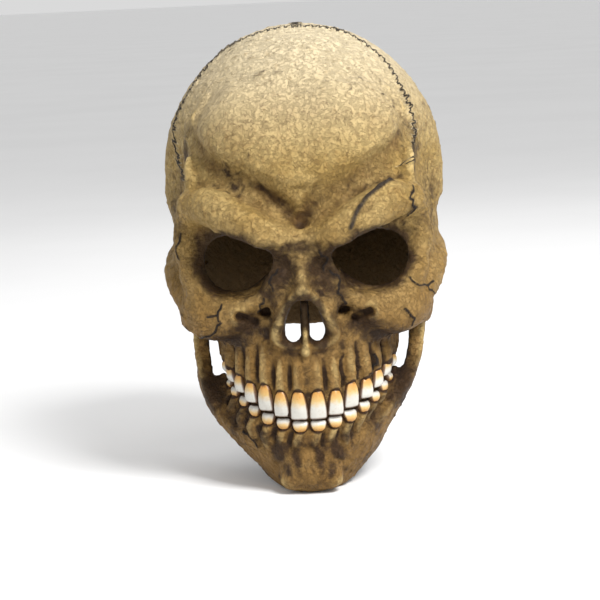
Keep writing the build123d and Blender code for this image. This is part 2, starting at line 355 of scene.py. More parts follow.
# ---- teeth places ------------------------------------------------------------------------------------
# How much of each tooth's gum end is inside the gum, and how far its root's ridge runs on.
SUNK = {"incisor": 0.0, "canine": 0.8, "premolar": 2.2, "molar": 2.4}
LOWER_SUNK = 2.6
ROOT_LENGTHS = {"incisor": 20.0, "canine": 25.0, "premolar": 21.0, "molar": 16.0}


class Tooth:
    """Where a CAD tooth is: its middle, outward and sideways directions, and its size."""

    def __init__(self, node):
        low, high = node_box(node)
        self.node = node
        self.upper = "_upper_" in node
        self.kind = node.split("_")[-1]
        self.middle = (low + high) / 2
        half_width, half_depth = UPPER_ARCH if self.upper else LOWER_ARCH
        out = np.array((self.middle[0] / half_width**2, (self.middle[1] - ARCH_Y) / half_depth**2, 0.0))
        self.out = out / np.linalg.norm(out)
        self.side = np.array((-self.out[1], self.out[0], 0.0))
        extent = high - low
        across, along = abs(self.side[0]), abs(self.side[1])
        spans = (
            (extent[0] - TOOTH_DEPTH * along) / across,
            (extent[1] - TOOTH_DEPTH * across) / max(along, 1e-3),
        )
        self.width = spans[0] if across > along else spans[1]
        self.low, self.high = low[2], high[2]
        self.gum_z = high[2] - SUNK[self.kind] if self.upper else low[2] + LOWER_SUNK
        self.bite_z = low[2] if self.upper else high[2]

    def point(self, side, out, z):
        """A point given by offsets from the tooth's middle and a height."""
        flat = self.middle + side * self.side + out * self.out
        return np.array((flat[0], flat[1], z))


TEETH = [Tooth(node) for node in sorted(frame["nodes"]) if "_upper_" in node or "_lower_" in node]


# ---- the skull's shape -------------------------------------------------------------------------------
def vault_point(x, z, out=0.0):
    """The point of the cranium's front at x and z, moved out by some millimetres."""
    a, b, c = VAULT_RADII
    inside = max(1 - (x / a) ** 2 - ((z - VAULT_CENTRE[2]) / c) ** 2, 0.0)
    point = np.array((x, VAULT_CENTRE[1] - b * math.sqrt(inside), z))
    normal = (point - VAULT_CENTRE) / np.array(VAULT_RADII) ** 2
    return point + out * normal / np.linalg.norm(normal)


# The frown's two creases over the nose, as (x, z, distance out from the surface) points.
FROWN = (((-27, 206, 1.6), (-13, 195, 1.8), (0, 183, 2.4)), ((12, 204, 2.0), (6, 193, 2.2), (0, 182, 2.4)))


def front_point(clay, x, z, out):
    """The point of the clay's front surface at x and z, moved out by some millimetres."""
    across, up = int(np.searchsorted(clay.axes[0], x)), int(np.searchsorted(clay.axes[2], z))
    first = int(np.argmax(clay.field[across, :, up] < 0))
    return np.array((x, clay.axes[1][first] - out, z))


def head_solid(clay):
    """The closed outside of the cranium, brows, orbits, nose and cheeks."""
    x, y, z = clay.grid(paired=False)
    head = column(x, y, z, HEAD_COLUMN, FACE_Y, 2.15)
    head = smooth_max(head, z - HEAD_COLUMN[-1][0], 6.0)
    clay.join(head, 1.0)
    clay.add(ball(VAULT_CENTRE, VAULT_RADII), 16.0, paired=False)
    clay.add(ball((0, 66, 170), (62, 62, 52)), 20.0, paired=False)
    # temples
    clay.cut(ball((102, -46, 208), (24, 38, 44)), 12.0)
    clay.cut(ball((97, -66, 180), (13, 20, 12)), 9.0)
    # frontal bulge
    clay.add(ball((28, -72, 236), (34, 24, 30)), 20.0)
    # cheek undersides, in front of the open back
    underside = smooth_max(y - MAXILLA_BACK_Y, z - CHEEK_Z, 5.0)
    clay.trim(-underside, 7.0)
    # side arches and cheekbones
    arch = [(66, -78, 121), (80, -60, 132), (89, -36, 145), (90, -6, 152), (86, 24, 152)]
    clay.add(rod(arch, [11, 10, 7.5, 6, 4]), 8.0)
    clay.add(ball((62, -77, 120), (19, 17, 14), (0, -24, 0)), 8.0)
    clay.add(rod([(44, -92, 120), (58, -84, 116), (72, -70, 117)], [9, 10, 10]), 8.0)
    clay.cut(rod([(101, -44, 172), (104, -8, 175), (101, 24, 174)], 11), 8.0)
    # brow ridges
    brow = [(12, -105, 170), (26, -108, 177), (42, -103, 186), (58, -93, 193), (71, -79, 194)]
    clay.add(rod(brow, [10, 12.5, 13.5, 12.5, 10]), 6.0)
    clay.add(rod([(71, -78, 192), (78, -72, 176), (77, -73, 158), (70, -78, 138)], [9, 8, 7.5, 8]), 8.0)
    clay.add(ball((0, -99, 176), (15, 11, 14)), 8.0, paired=False)
    # temporal crests
    crest = ((69, 196, 3.5), (69, 212, 3.5), (71, 230, 2.5), (69, 248, 1.0), (60, 264, -1.0))
    clay.add(rod([vault_point(*p) for p in crest], [5, 4.5, 4, 3.5, 3]), 3.0)
    clay.cut(rod([vault_point(*p) for p in ((80, 200, 6), (80, 222, 6), (79, 244, 7))], [9, 9, 6]), 5.0)
    # the furrow over each brow
    furrow = [(5, 188, 3.0), (22, 201, 4.0), (42, 212, 5.0), (60, 222, 5.5), (73, 240, 6.5)]
    clay.cut(rod([vault_point(*p) for p in furrow], [7, 9.5, 8.2, 7, 6.5]), 8.0)
    clay.cut(rod([vault_point(3, 202, 1), vault_point(3, 190, 4), (2, -111, 178)], [4, 5, 3]), 5.0)
    # orbits
    rim = [(17, -97, 150), (27, -98, 134), (44, -94, 126.5), (61, -86, 130), (75, -74, 145)]
    clay.add(rod(rim, [5, 5.5, 6.5, 7, 7]), 7.0)
    clay.cut(ball((47, -98, 155), (27.5, 26, 21), (0, -10, 0)), 4.0)
    # nasal bones: a wide pyramid with a narrow crest
    clay.add(rod([(19, -94, 158), (14, -98, 142), (13, -101, 128)], [9, 10, 9]), 9.0)
    clay.add(rod([(0, -96, 168), (0, -104, 154), (0, -111, 139)], [9, 7.5, 6]), 9.0, paired=False)
    clay.add(rod([(0, -107, 158), (0, -112, 150), (0, -118, 138)], [3, 2.6, 3.0]), 4.0, paired=False)
    clay.cut(rod([(22, -115, 161), (0, -118, 166)], [3.5, 4.5]), 5.0)


def maxilla_solid(clay):
    """The upper jaw's column with the roots showing through it."""
    x, y, z = clay.grid(paired=False)
    swell = np.interp(z, (60, 84, 116), (0.0, 0.0, 5.0)).astype(np.float32)
    half, depth = UPPER_ARCH[0] + swell, UPPER_ARCH[1] - 0.6 * swell
    jaw = smooth_max(arch_distance(x, y, half, depth), z - 118.0, 4.0)
    clay.join(jaw, 9.0)
    # the shallow hollows beside the nose, and the nasal opening's rim, recess and septum
    clay.cut(ball((35, -106, 113), (9, 8, 9), (0, 12, 0)), 7.0)
    clay.cut(rod([front_point(clay, 33, 117, -0.5), front_point(clay, 43, 121, -0.5)], [2.8, 3.4]), 2.0)
    rim = [(1, -117, 139), (8, -113, 131), (16, -107, 118), (19, -103, 107), (14, -103, 101), (3, -106, 100)]
    clay.add(rod(rim, [2.5, 3.2, 3.7, 3.7, 2.6, 2.2]), 4.5)
    clay.add(rod([(0, -106, 101), (0, -105.5, 80)], [2.4, 1.4]), 3.0, paired=False)
    clay.cut(ball((0, -120, 113), (14, 20, 19)), 3.0, paired=False)
    clay.add(rod([(0, -103, 128), (0, -102, 112), (0, -108, 97)], [1.9, 1.9, 2.6]), 2.5, paired=False)
    for tooth in TEETH:
        if tooth.upper and tooth.middle[0] > 0:
            add_root(clay, tooth)


def add_root(clay, tooth):
    """A root's ridge beyond a tooth, swelling where it takes in the crown's gum end."""
    sign = 1 if tooth.upper else -1
    length = ROOT_LENGTHS[tooth.kind] * (1.0 if tooth.upper else 0.55)
    places = ((-2.6, 1.5, 0.47), (-2.2, 5.0, 0.45), (-2.2, 0.6 * length, 0.41), (-3.0, length, 0.32))
    ridge = [tooth.point(0, out, tooth.gum_z + rise * sign) for out, rise, _ in places]
    clay.add(rod(ridge, [tooth.width * share for *_, share in places]), 1.2)
    places = ((0.2, 0.5), (-0.6, 0.5 * length), (-0.2, length))
    groove = [tooth.point(tooth.width / 2, out, tooth.gum_z + rise * sign) for out, rise in places]
    clay.cut(rod(groove, [1.4, 1.6, 1.1]), 1.3)


def narrow_band(field):
    """The field as an OpenVDB grid, clipped to a few voxels each way."""
    reach = 3.0 * VOXEL
    grid = openvdb.FloatGrid(reach)
    grid.copyFromArray(np.clip(field, -reach, reach).astype(np.float32))
    return grid


def exact_distance(field):
    """A distance field of the same surface that is exact for some voxels each way."""
    points, triangles, quads = narrow_band(field).convertToPolygons(0.0, 0.0)
    reach = max(5.0, 8.0 / VOXEL)
    level = openvdb.FloatGrid.createLevelSetFromPolygons(points, triangles, quads, halfWidth=reach)
    exact = np.empty(field.shape, np.float32)
    level.copyToArray(exact)
    return exact * VOXEL


SKULL_GRID_LOW = (0.0, -128.0, 34.0)


def skull_field():
    """The skull's finished field over both sides, the closed solid's distance, and the low corner."""
    clay = Clay(SKULL_GRID_LOW, SKULL_HIGH + GRID_MARGIN, mirrored=True)
    head_solid(clay)
    maxilla_solid(clay)
    low = clay.unfold()
    for crease_shade in FROWN:
        clay.cut(rod([front_point(clay, *p) for p in crease_shade], [2.0, 3.4, 3.8]), 4.5)
    solid = clay.field
    inner = exact_distance(solid)
    _, y, z = clay.grid()
    gum = np.clip((100.0 - z) / 20.0, 0, 1) * np.clip((MAXILLA_BACK_Y + 30 - y) / 10.0, 0, 1)
    wall = WALL + (GUM_WALL - WALL) * gum
    clay.field = smooth_max(solid, -(inner + wall), 0.8)
    trim_skull(clay)
    open_face(clay)
    return clay, solid, low


def trim_skull(clay):
    """Cuts the lower hem, the gum's edge and the upper jaw's open back."""
    x, y, z = clay.grid()
    hem = eased(y, *zip(*HEM), 8.0)
    half, depth = UPPER_ARCH[0] + ARCH_MARGIN, UPPER_ARCH[1] + ARCH_MARGIN
    jaw = np.maximum((arch_share(x, y, half, depth) - 1) * half, y - MAXILLA_BACK_Y)
    below = np.maximum(z - hem, -jaw)
    below = np.where(y < MAXILLA_BACK_Y - 1.0, FAR, below)
    clay.trim(-below, CUT_EDGE)
    gum = np.maximum((MOUTH_RADIUS - GUM_SETBACK) - from_smile(x, z), z - SMILE_Z + 20)
    clay.trim(np.where(y < MAXILLA_BACK_Y + 8, -gum, -FAR), CUT_EDGE)


EYE_OUTLINE = ((19, 163), (46, 175), (64, 171), (71, 156), (64, 140), (48, 134.5), (30, 141), (19, 155))
EYE_BLEND = 7.0
RIGHT_EYE_SQUEEZE = 0.95  # the eye at negative x is a little narrower
NOSTRIL_OUTLINE = ((3.0, 133), (7, 130), (13, 115), (13, 107), (9, 103), (3.5, 105))
NOSTRIL_BLEND = 2.5


PRISM_Y = (-140.0, -40.0)  # the face's depth, which the prisms that open it go through


def prism(outline, blend, side=1, squeeze=1.0):
    """A bar along Y through a convex outline of (x, z) points, drawn clockwise from its inner end."""
    points = [np.array((side * squeeze * px, pz), float) for px, pz in outline]
    middle = np.mean(points, axis=0)

    def field(x, y, z):
        best = None
        for start, end in zip(points, points[1:] + points[:1]):
            run = (end - start) / np.linalg.norm(end - start)
            normal = np.array((-run[1], run[0]))
            normal = normal * (1 if normal @ (start - middle) > 0 else -1)
            plane = (x - start[0]) * normal[0] + (z - start[1]) * normal[1]
            best = plane if best is None else smooth_max(best, plane, blend)
        return best + 0 * y

    low, high = np.min(points, axis=0), np.max(points, axis=0)
    return field, np.array((low[0], PRISM_Y[0], low[1])), np.array((high[0], PRISM_Y[1], high[1]))


def disc(x0, x1, radius):
    """A round plug on the hinge axis between two x."""

    def field(x, y, z):
        along = np.abs(x - (x0 + x1) / 2) - abs(x1 - x0) / 2
        return np.maximum(np.sqrt(y * y + (z - HINGE_Z) ** 2) - radius, along)

    low = np.array((min(x0, x1), -radius, HINGE_Z - radius))
    return field, low, np.array((max(x0, x1), radius, HINGE_Z + radius))


def open_face(clay):
    """Cuts the eye and nostril openings, and makes the hinge bosses with their bores."""
    for side in (-1, 1):
        clay.cut(prism(EYE_OUTLINE, EYE_BLEND, side, 1.0 if side > 0 else RIGHT_EYE_SQUEEZE), 2.0)
        clay.cut(prism(NOSTRIL_OUTLINE, NOSTRIL_BLEND, side), 1.5)
        clay.add(disc(side * (PLATE_X + 0.8), side * BOSS_FACE_X, BOSS_RADIUS), 3.0)
        clay.cut(disc(side * BOSS_FACE_X, side * (BOSS_FACE_X + 14), RECESS_RADIUS), 0.8)
        clay.cut(disc(side * (PLATE_X - 2), side * (BOSS_FACE_X + 4), BORE_RADIUS), 0.6)


# ---- the lower jaw's shape ---------------------------------------------------------------------------
def rim_height(y):
    """Height of the jaw's rim at y."""
    return eased(y, *zip(*sorted(RIM)), 5.0)


JAW_GRID_LOW = (0.0, -124.0, -8.0)


def jaw_field():
    """The jaw's finished field over both sides, the closed solid's distance, and the low corner."""
    high = (PLATE_X + GRID_MARGIN, PLATE_BACK_Y + 16, JAW_HIGH[2] + GRID_MARGIN)
    clay = Clay(JAW_GRID_LOW, high, mirrored=True)
    x, y, z = clay.grid(paired=False)
    body = column(x, y, z, JAW_COLUMN, JAW_Y, 2.0)
    body = smooth_max(body, 0.6 - z, 5.0)
    top = (z - rim_height(y)) * 0.62
    top = np.where(y > RIM[0][0], np.maximum(top, z - RIM[0][1]), top)
    clay.field = smooth_max(body, top.astype(np.float32), 5.0)
    gum = smooth_max(arch_distance(x, y, *LOWER_ARCH), y - GUM_BACK_Y, 2.0)
    gum = smooth_max(gum, rim_height(y) - 3.0 - z, 5.0)
    gum = smooth_max(gum, z - 84.0, 2.0)
    clay.join(gum, 5.0)
    # the hollow between the oblique ridge and the teeth, the mental hollows and the chin's lumps
    hollow = [(66, -48, 84), (62, -64, 66), (51, -81, 50), (38, -93, 38), (27, -99, 30)]
    clay.cut(rod(hollow, [7, 7, 6.5, 5.5, 3.5]), 6.0)
    clay.add(ball((0, -97, 13), (17, 9, 10)), 8.0, paired=False)
    clay.add(ball((13, -96, 9), (8, 7.5, 6)), 5.0)
    clay.cut(ball((9, -109, 29), (7, 5, 5)), 5.0)
    for tooth in TEETH:
        if not tooth.upper and tooth.middle[0] > 0:
            add_root(clay, tooth)
    low = clay.unfold()
    solid = clay.field
    inner = exact_distance(solid)
    x, y, z = clay.grid()
    near = arch_share(x, y, *LOWER_ARCH)
    gum = np.clip((z - rim_height(y)) / 4.0, 0, 1) * np.clip((1.08 - near) / 0.04, 0, 1)
    clay.field = smooth_max(solid, -(inner + WALL + (GUM_WALL - WALL) * gum), 0.8)
    trim_jaw(clay)
    return clay, solid, low


def trim_jaw(clay):
    """Opens the jaw's mouth, bottom and back, and rounds the hinge plates' ends."""
    x, y, z = clay.grid()
    half, depth = LOWER_ARCH[0] - GUM_WALL, LOWER_ARCH[1] - GUM_WALL
    mouth = (arch_share(x, y, half, depth) - 1) * half
    mouth = smooth_max(mouth, rim_height(y) - 5.0 - z, 4.0)
    plates = eased(z, *list(zip(*JAW_COLUMN))[:2], COLUMN_EASE) - PLATE_DEPTH
    room = smooth_max(np.abs(x) - plates, -46.0 - y, 4.0)
    inside = smooth_min(mouth, room, 4.0)
    clay.trim(-inside, CUT_EDGE)
    (y0, z0), (y1, z1) = JAW_BOTTOM
    run = math.hypot(y1 - y0, z1 - z0)
    below = ((z - z0) * (y1 - y0) - (y - y0) * (z1 - z0)) / run
    below = np.where(y > y0 - 4, below, FAR)
    clay.trim(-below, CUT_EDGE)
    clay.trim(y - PLATE_BACK_Y + PLATE_WAIST * bell(z - HINGE_Z + 22.0, 13.0), 3.0)
    behind = (1 - arch_share(x, y, *LOWER_ARCH)) * LOWER_ARCH[0] - LIP_SETBACK
    edge = MOUTH_RADIUS + GUM_SETBACK - np.clip(behind / 0.6, 0, 1) * (GUM_SETBACK + LIP_RISE)
    gum = np.where(y < GUM_BACK_Y + 1, edge - from_smile(x, z), -FAR)
    clay.trim(gum, CUT_EDGE)
    corner = np.minimum(np.sqrt(y * y + (z - HINGE_Z) ** 2) - PLATE_END_RADIUS, FAR)
    plate_end = smooth_max(np.maximum(corner, HINGE_Z - z), -y - 22.0, 1.0)
    plate_end = np.where(z > HINGE_Z, plate_end, -FAR)
    clay.trim(plate_end, 1.0)
    for side in (-1, 1):
        clay.cut(disc(side * (PLATE_X - 20), side * (PLATE_X - PLATE_WALL), 10.0), 1.0)
        clay.cut(disc(side * (PLATE_X - 20), side * (PLATE_X + 4), BORE_RADIUS), 0.6)


# ---- meshes ------------------------------------------------------------------------------------------
def sample(field, low, points):
    """A grid's values at points, between its nodes."""
    place = np.clip((points - low) / VOXEL, 0, np.array(field.shape) - 1.001)
    base = place.astype(int)
    part = (place - base).astype(np.float32)
    value = np.zeros(len(points), np.float32)
    for corner in np.ndindex(2, 2, 2):
        weight = np.prod(np.where(corner, part, 1 - part), axis=1)
        value += weight * field[tuple((base + corner).T)]
    return value


def blurred(field, radius):
    """A field averaged over about radius each way, by two passes of a box filter along each axis."""
    width = max(1, round(0.6 * radius / VOXEL))
    span = 2 * width + 1
    for axis in (0, 0, 1, 1, 2, 2):
        along = np.moveaxis(field, axis, 0)
        total = np.cumsum(np.pad(along, [(width + 1, width), (0, 0), (0, 0)], mode="edge"), axis=0)
        field = np.moveaxis((total[span:] - total[:-span]) / span, 0, axis)
    return field.astype(np.float32)


def surface(field, low):
    """Points and quads of a field's zero surface, relaxed a little."""
    points, quads = narrow_band(field).convertToQuads(0.0)
    points = points.astype(np.float64) * VOXEL + low
    quads = quads[:, ::-1].astype(np.int64)
    edges = np.concatenate([quads[:, [i, (i + 1) % 4]] for i in range(4)])
    count = np.bincount(edges[:, 0], minlength=len(points)).astype(float)[:, None]
    for step in (0.55, -0.45, 0.55, -0.45):
        totals = [np.bincount(edges[:, 0], points[edges[:, 1], axis], len(points)) for axis in range(3)]
        points = points + step * (np.stack(totals, axis=1) / count - points)
    return points, quads


def normals_of(points, quads):
    """Unit normals at a quad mesh's points."""
    a, b, c, d = (points[quads[:, i]] for i in range(4))
    flat = np.cross(c - a, d - b)
    total = np.zeros_like(points)
    for i in range(4):
        for axis in range(3):
            total[:, axis] += np.bincount(quads[:, i], flat[:, axis], len(points))
    return total / np.maximum(np.linalg.norm(total, axis=1, keepdims=True), 1e-9)


def ring_quads(rings, around, first=0):
    """Quads between neighbouring rings of around points each, numbered on from first."""
    made = []
    for row in range(first, first + (rings - 1) * around, around):
        for step in range(around):
            a, b = row + step, row + (step + 1) % around
            made.append((a, b, b + around, a + around))
    return made


def angles(around):
    """The cosine and sine of each step round a full turn."""
    turns = [2 * math.pi * step / around for step in range(around)]
    return [(math.cos(turn), math.sin(turn)) for turn in turns]


def squared(value, power):
    """A cosine or sine pushed outward, so that a ring is squarer than an ellipse."""
    return math.copysign(abs(value) ** power, value)


def placed(name, data):
    """An object for a mesh, a camera or a light, put in the scene."""
    thing = bpy.data.objects.new(name, data)
    bpy.context.scene.collection.objects.link(thing)
    return thing


def make_object(name, points, faces, body, node):
    """A smooth-shaded piece that stands for a CAD node and rides on a body."""
    mesh = bpy.data.meshes.new(name)
    mesh.from_pydata(to_frame(points).tolist(), [], [list(face) for face in faces])
    mesh.shade_smooth()
    piece = placed(name, mesh)
    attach(piece, body)
    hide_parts(node)
    return piece


def paint(piece, name, values):
    """Stores one number per point for the material to read."""
    attribute = piece.data.attributes.new(name, "FLOAT", "POINT")
    attribute.data.foreach_set("value", np.asarray(values, np.float32))


# ---- noise -------------------------------------------------------------------------------------------
def lattice(i, j, k, seed):
    """A repeatable number from -1 to 1 at each whole place."""
    mixed = (i * 374761393 + j * 668265263 + k * 1274126177 + seed * 974634777) & 0xFFFFFFFF
    mixed = ((mixed ^ (mixed >> 13)) * 1103515245) & 0xFFFFFFFF
    mixed = (mixed ^ (mixed >> 16)) & 0xFFFF
    return mixed / 32767.5 - 1.0


def noise(points, scale, seed):
    """Smooth noise from -1 to 1 whose lumps are about scale wide."""
    place = points / scale
    base = np.floor(place).astype(np.int64)
    part = place - base
    part = part * part * (3 - 2 * part)
    value = np.zeros(len(points))
    for corner in np.ndindex(2, 2, 2):
        weight = np.prod(np.where(corner, part, 1 - part), axis=1)
        value += weight * lattice(*(base + corner).T, seed)
    return value


def warped(points, scale, amount, seed):
    """Points pushed about by noise, for irregular patterns."""
    return points + amount * np.stack([noise(points, scale, seed + i) for i in range(3)], axis=1)


def creases(points, scale, width, seed):
    """A network of thin lines: 1 on a line and 0 between them."""
    bent = warped(points, scale * 0.8, scale * 0.35, seed + 10)
    return np.exp(-((noise(bent, scale, seed) / width) ** 2))


# ---- lines drawn on the surface ----------------------------------------------------------------------
def distance_to_line(points, line, reach):
    """Each point's distance to a line through 3D points, up to reach."""
    found = np.full(len(points), reach)
    line = np.asarray(line, float)
    near = np.all((points > line.min(0) - reach) & (points < line.max(0) + reach), axis=1)
    here = points[near]
    best = np.full(len(here), reach)
    for start, end in zip(line, line[1:]):
        above, below = here > np.minimum(start, end) - reach, here < np.maximum(start, end) + reach
        close = np.all(above & below, axis=1)
        p = here[close]
        run = end - start
        t = np.clip((p - start) @ run / max(run @ run, 1e-9), 0, 1)[:, None]
        best[close] = np.minimum(best[close], np.linalg.norm(p - start - t * run, axis=1))
    found[near] = best
    return found


def jagged(path, step, sway, seed):
    """A path of 2D points cut into short steps that sway to each side."""
    rng = np.random.default_rng(seed)
    path = np.asarray(path, float)
    made = [path[0]]
    for start, end in zip(path, path[1:]):
        run = end - start
        length = np.linalg.norm(run)
        across = np.array((-run[1], run[0])) / length
        pieces = max(1, int(length / step))
        for piece in range(1, pieces + 1):
            push = 0.0 if piece == pieces else rng.uniform(-sway, sway)
            made.append(start + run * piece / pieces + across * push)
    return made


def cast(tree, start, direction):
    """Where a ray first meets a surface tree, or None."""
    hit = tree.ray_cast(Vector(start), Vector(direction))[0]
    return None if hit is None else np.array(hit)


def on_front(tree, path):
    """(x, z) points put on the surface as seen from the front."""
    hits = [cast(tree, (x, -200, z), (0, 1, 0)) for x, z in path]
    return [hit for hit in hits if hit is not None]


# Where each seam of the cranium runs, in degrees seen from the vault's middle. The coronal seam leans
# forward by the second angle at the first angle from the top; the lambdoid seam leans backward.
CORONAL_RIGHT = ((0, 11), (30, 10.6), (52, 18), (79, 21), (94, 36))
CORONAL_LEFT = ((0, 11), (19, 10), (38, 19.6), (51, 29), (71, 35.6), (82, 52))
LAMBDOID = ((0, -52), (30, -45), (60, -36), (88, -34))
SEAM_REACH = 8.0
NO_SEAM = 99.0  # the distance across a seam where there is none
# The waves of the seams' zigzag: (size, beat, wander, beat of the wander, start).
SEAM_WAVES = ((2.3, 1.12, 1.3, 0.33, 0.0), (1.1, 2.45, 0.9, 0.21, 1.0))


def seam_places(points):
    """For each point, the way along its nearest seam and the signed distance across it."""
    x, y, z = (points - np.array(VAULT_CENTRE)).T
    around = np.degrees(np.arctan2(np.abs(x), z))
    lean = np.degrees(np.arctan2(-y, np.hypot(x, z)))
    size = np.linalg.norm([x, y, z], axis=0)
    millimetres = np.radians(1.0) * size
    best_along, best_across = np.zeros(len(points)), np.full(len(points), NO_SEAM)
    for side, table in ((-1, CORONAL_RIGHT), (1, CORONAL_LEFT), (-1, LAMBDOID), (1, LAMBDOID)):
        knots, leans = zip(*table)
        across = (lean - np.interp(around, knots, leans)) * millimetres
        fits = (np.sign(x) == side) & (around < knots[-1]) & (np.abs(across) < np.abs(best_across))
        best_across = np.where(fits, across, best_across)
        best_along = np.where(fits, around * millimetres + 40 * side, best_along)
    crown = (lean < CORONAL_LEFT[0][1]) & (lean > LAMBDOID[0][1]) & (z > 0)
    closer = crown & (np.abs(x) < np.abs(best_across))
    best_across = np.where(closer, x, best_across)
    best_along = np.where(closer, lean * millimetres, best_along)
    return best_along, np.clip(best_across, -NO_SEAM, NO_SEAM)


def seam_distance(along, across):
    """Distance to the seam's zigzag line: waves across it whose beat wanders."""
    line, slope = np.zeros(len(along)), np.zeros(len(along))
    for size, beat, wander, wander_beat, start in SEAM_WAVES:
        phase = beat * along + wander * np.sin(wander_beat * along) + start
        line += size * np.sin(phase)
        slope += size * beat * np.cos(phase)
    return np.minimum(np.abs(across - line) / np.sqrt(1 + slope**2), SEAM_REACH)


# ---- latex skins --------------------------------------------------------------------------------------
# Each crack, and the scar over one brow, as (x, z) points seen from the front.
CRACKS = (
    ((-54, 129), (-57, 122), (-55, 117), (-59, 112), (-68, 107), (-73, 105)),
    ((-57, 122), (-64, 121)),
    ((70, 141), (76, 135), (82, 133), (86, 127), (91, 122)),
    ((82, 133), (86, 135)),
    ((74, 201), (71, 194), (75, 188), (70, 182)),
    ((-41, 40), (-36, 36), (-33, 31)),
    ((66, 121), (72, 114), (70, 109)),
    ((-80, 176), (-84, 166), (-82, 158)),
    ((18, 150), (24, 143), (22, 135), (28, 128)),
    ((-16, 152), (-22, 144), (-19, 138)),
    ((-26, 133), (-31, 124)),
    ((12, 164), (17, 158), (14, 150)),
    ((40, 78), (46, 84), (44, 90)),
)
# Soft patches of painted shade with the brown wash on both sides: (centre, reach, strength).
SHADE_WASHES = (
    ((14, -108, 150), (14, 16, 17), 1.0),
    ((9, -106, 166), (12, 12, 6), 0.9),
    ((22, -100, 138), (9, 12, 12), 0.9),
    ((5, -107, 188), (7, 14, 8), 0.6),
    ((15, -103, 196), (9, 12, 5), 0.6),
    ((7, -104, 27), (3.5, 14, 12), 1.0),
    ((21, -100, 30), (4, 14, 12), 1.0),
    ((13, -106, 17), (2.5, 14, 7), 0.8),
    ((46, -100, 190), (12, 14, 6), 0.6),
    ((0, -104, 20), (2, 14, 7), 0.5),
    ((10, -108, 98), (14, 10, 4), 0.65),
    ((38, -106, 119), (9, 14, 5), 0.9),
    ((8, -114, 130), (7, 12, 9), 0.45),
    ((20, -108, 118), (6, 12, 14), 0.6),
    ((40, -96, 112), (15, 14, 8), 0.9),
    ((56, -84, 103), (18, 18, 8), 0.9),
    ((30, -104, 96), (26, 14, 9), 0.4),
    ((77, -62, 176), (12, 18, 20), 0.8),
    ((90, -30, 190), (10, 26, 26), 0.55),
    ((66, -60, 70), (13, 22, 26), 1.0),
    ((52, -84, 50), (12, 16, 16), 1.0),
    ((34, -98, 38), (12, 12, 9), 0.8),
    ((12, -104, 34), (13, 12, 7), 0.7),
    ((0, -104, 6), (12, 14, 8), 0.5),
    ((84, -20, 108), (16, 24, 14), 0.6),
    ((77, -50, 224), (5, 16, 24), 0.75),
    ((78, -62, 196), (7, 14, 12), 0.7),
)
SCAR = ((60, 205), (52, 201.5), (44, 196.5), (37, 188), (33, 179))
FACE_FRONT_Y = -55.0  # the painted shade round the eyes and nostrils stays in front of this
EDGE_SHADE = 6.0  # how far that painted shade runs out from the openings
GUM_REACH = 9.0
JAW_SAG = 4.5  # how far the soft jaw hangs to negative x, at a height and over a reach
SAG_Z, SAG_REACH = 48.0, 24.0
LINE_REACH = 9.0  # how far from a crack or the scar the distance to it is known
HINGE_STILL = (12.0, 17.0)  # no relief within the first radius of the hinge, all of it past the second
SIDE_X = 60.0  # what is further out than this is the hinge's side wall
PLATE_Z = 92.0  # above this the jaw's relief only goes inward, so its plates swing freely
# Lumps as (height, size, seed), and networks of creases as (depth, size, line width, seed).
WIDE_LUMPS = ((0.7, 23.0, 1), (0.35, 9.0, 2))
CRUMPLES = ((0.42, 4.6, 7), (0.30, 2.9, 9))
CREASES = ((0.60, 8.5, 0.12, 3), (0.40, 5.0, 0.15, 4))
PITS = (1.6, 4.0, 0.58, 6)  # depth, size, how rare, seed
# The blurred solid's hollows and ridges set where the paint lays painted shade and painted highlights.
HOLLOW_REACH = 14.0
FINE_HOLLOW = (4.0, 1.2)  # how far the solid is blurred, and the change in distance that counts as 1
WIDE_HOLLOW = (12.0, 4.0)


def crack_distance(points, tree):
    """Distance to the nearest crack."""
    nearest = np.full(len(points), LINE_REACH)
    for number, path in enumerate(CRACKS):
        line = on_front(tree, jagged(path, 2.4, 1.4, number))
        if len(line) > 1:
            nearest = np.minimum(nearest, distance_to_line(points, line, LINE_REACH))
    return nearest


def skin_relief(points, seam, across, crack, scar):
    """How far the surface stands out: lumps, crumples, creases, pits, seams, cracks and the scar."""
    patch = np.clip(0.62 + 0.9 * noise(points, 26.0, 5), 0.15, 1.0)
    bent = warped(points, 9.0, 4.0, 41)
    relief = sum(rise * noise(points, size, seed) for rise, size, seed in WIDE_LUMPS)
    relief += patch * sum(rise * noise(bent, size, seed) for rise, size, seed in CRUMPLES)
    relief -= patch * sum(deep * creases(points, size, width, seed) for deep, size, width, seed in CREASES)
    deep, size, rare, seed = PITS
    relief -= deep * np.clip(noise(points, size, seed) - rare, 0, 1)
    relief -= 0.9 * bell(seam, 0.9) + 0.35 * bell(across, 4.0)
    relief -= 1.3 * bell(crack, 0.9) + 0.25 * bell(crack - 2.0, 1.0)
    return relief - (1.8 * bell(scar, 1.3) + 0.5 * bell(scar, 3.4))


def skin_shade_wash(points, node):
    """Where the painted shade lies: soft patches of it with the brown wash, and painted shade round the eyes
    and nostrils.
    """
    wash_and_shade = np.zeros(len(points))
    one_side = np.column_stack((np.abs(points[:, 0]), points[:, 1:]))
    ragged = warped(one_side, 9.0, 3.5, 31)
    for centre, reach, strength in SHADE_WASHES:
        away = (((ragged - centre) / np.array(reach)) ** 2).sum(axis=1)
        wash_and_shade = np.maximum(wash_and_shade, strength * np.exp(-0.8 * away))
    if node == "skull_shell":
        strength = np.where(points[:, 1] < FACE_FRONT_Y, 0.85, 0.0)
        for outline, blend in ((EYE_OUTLINE, EYE_BLEND), (NOSTRIL_OUTLINE, NOSTRIL_BLEND)):
            away = np.maximum(prism(outline, blend)[0](*ragged.T), 0.0)
            wash_and_shade = np.maximum(wash_and_shade, strength * bell(away, EDGE_SHADE))
    return wash_and_shade


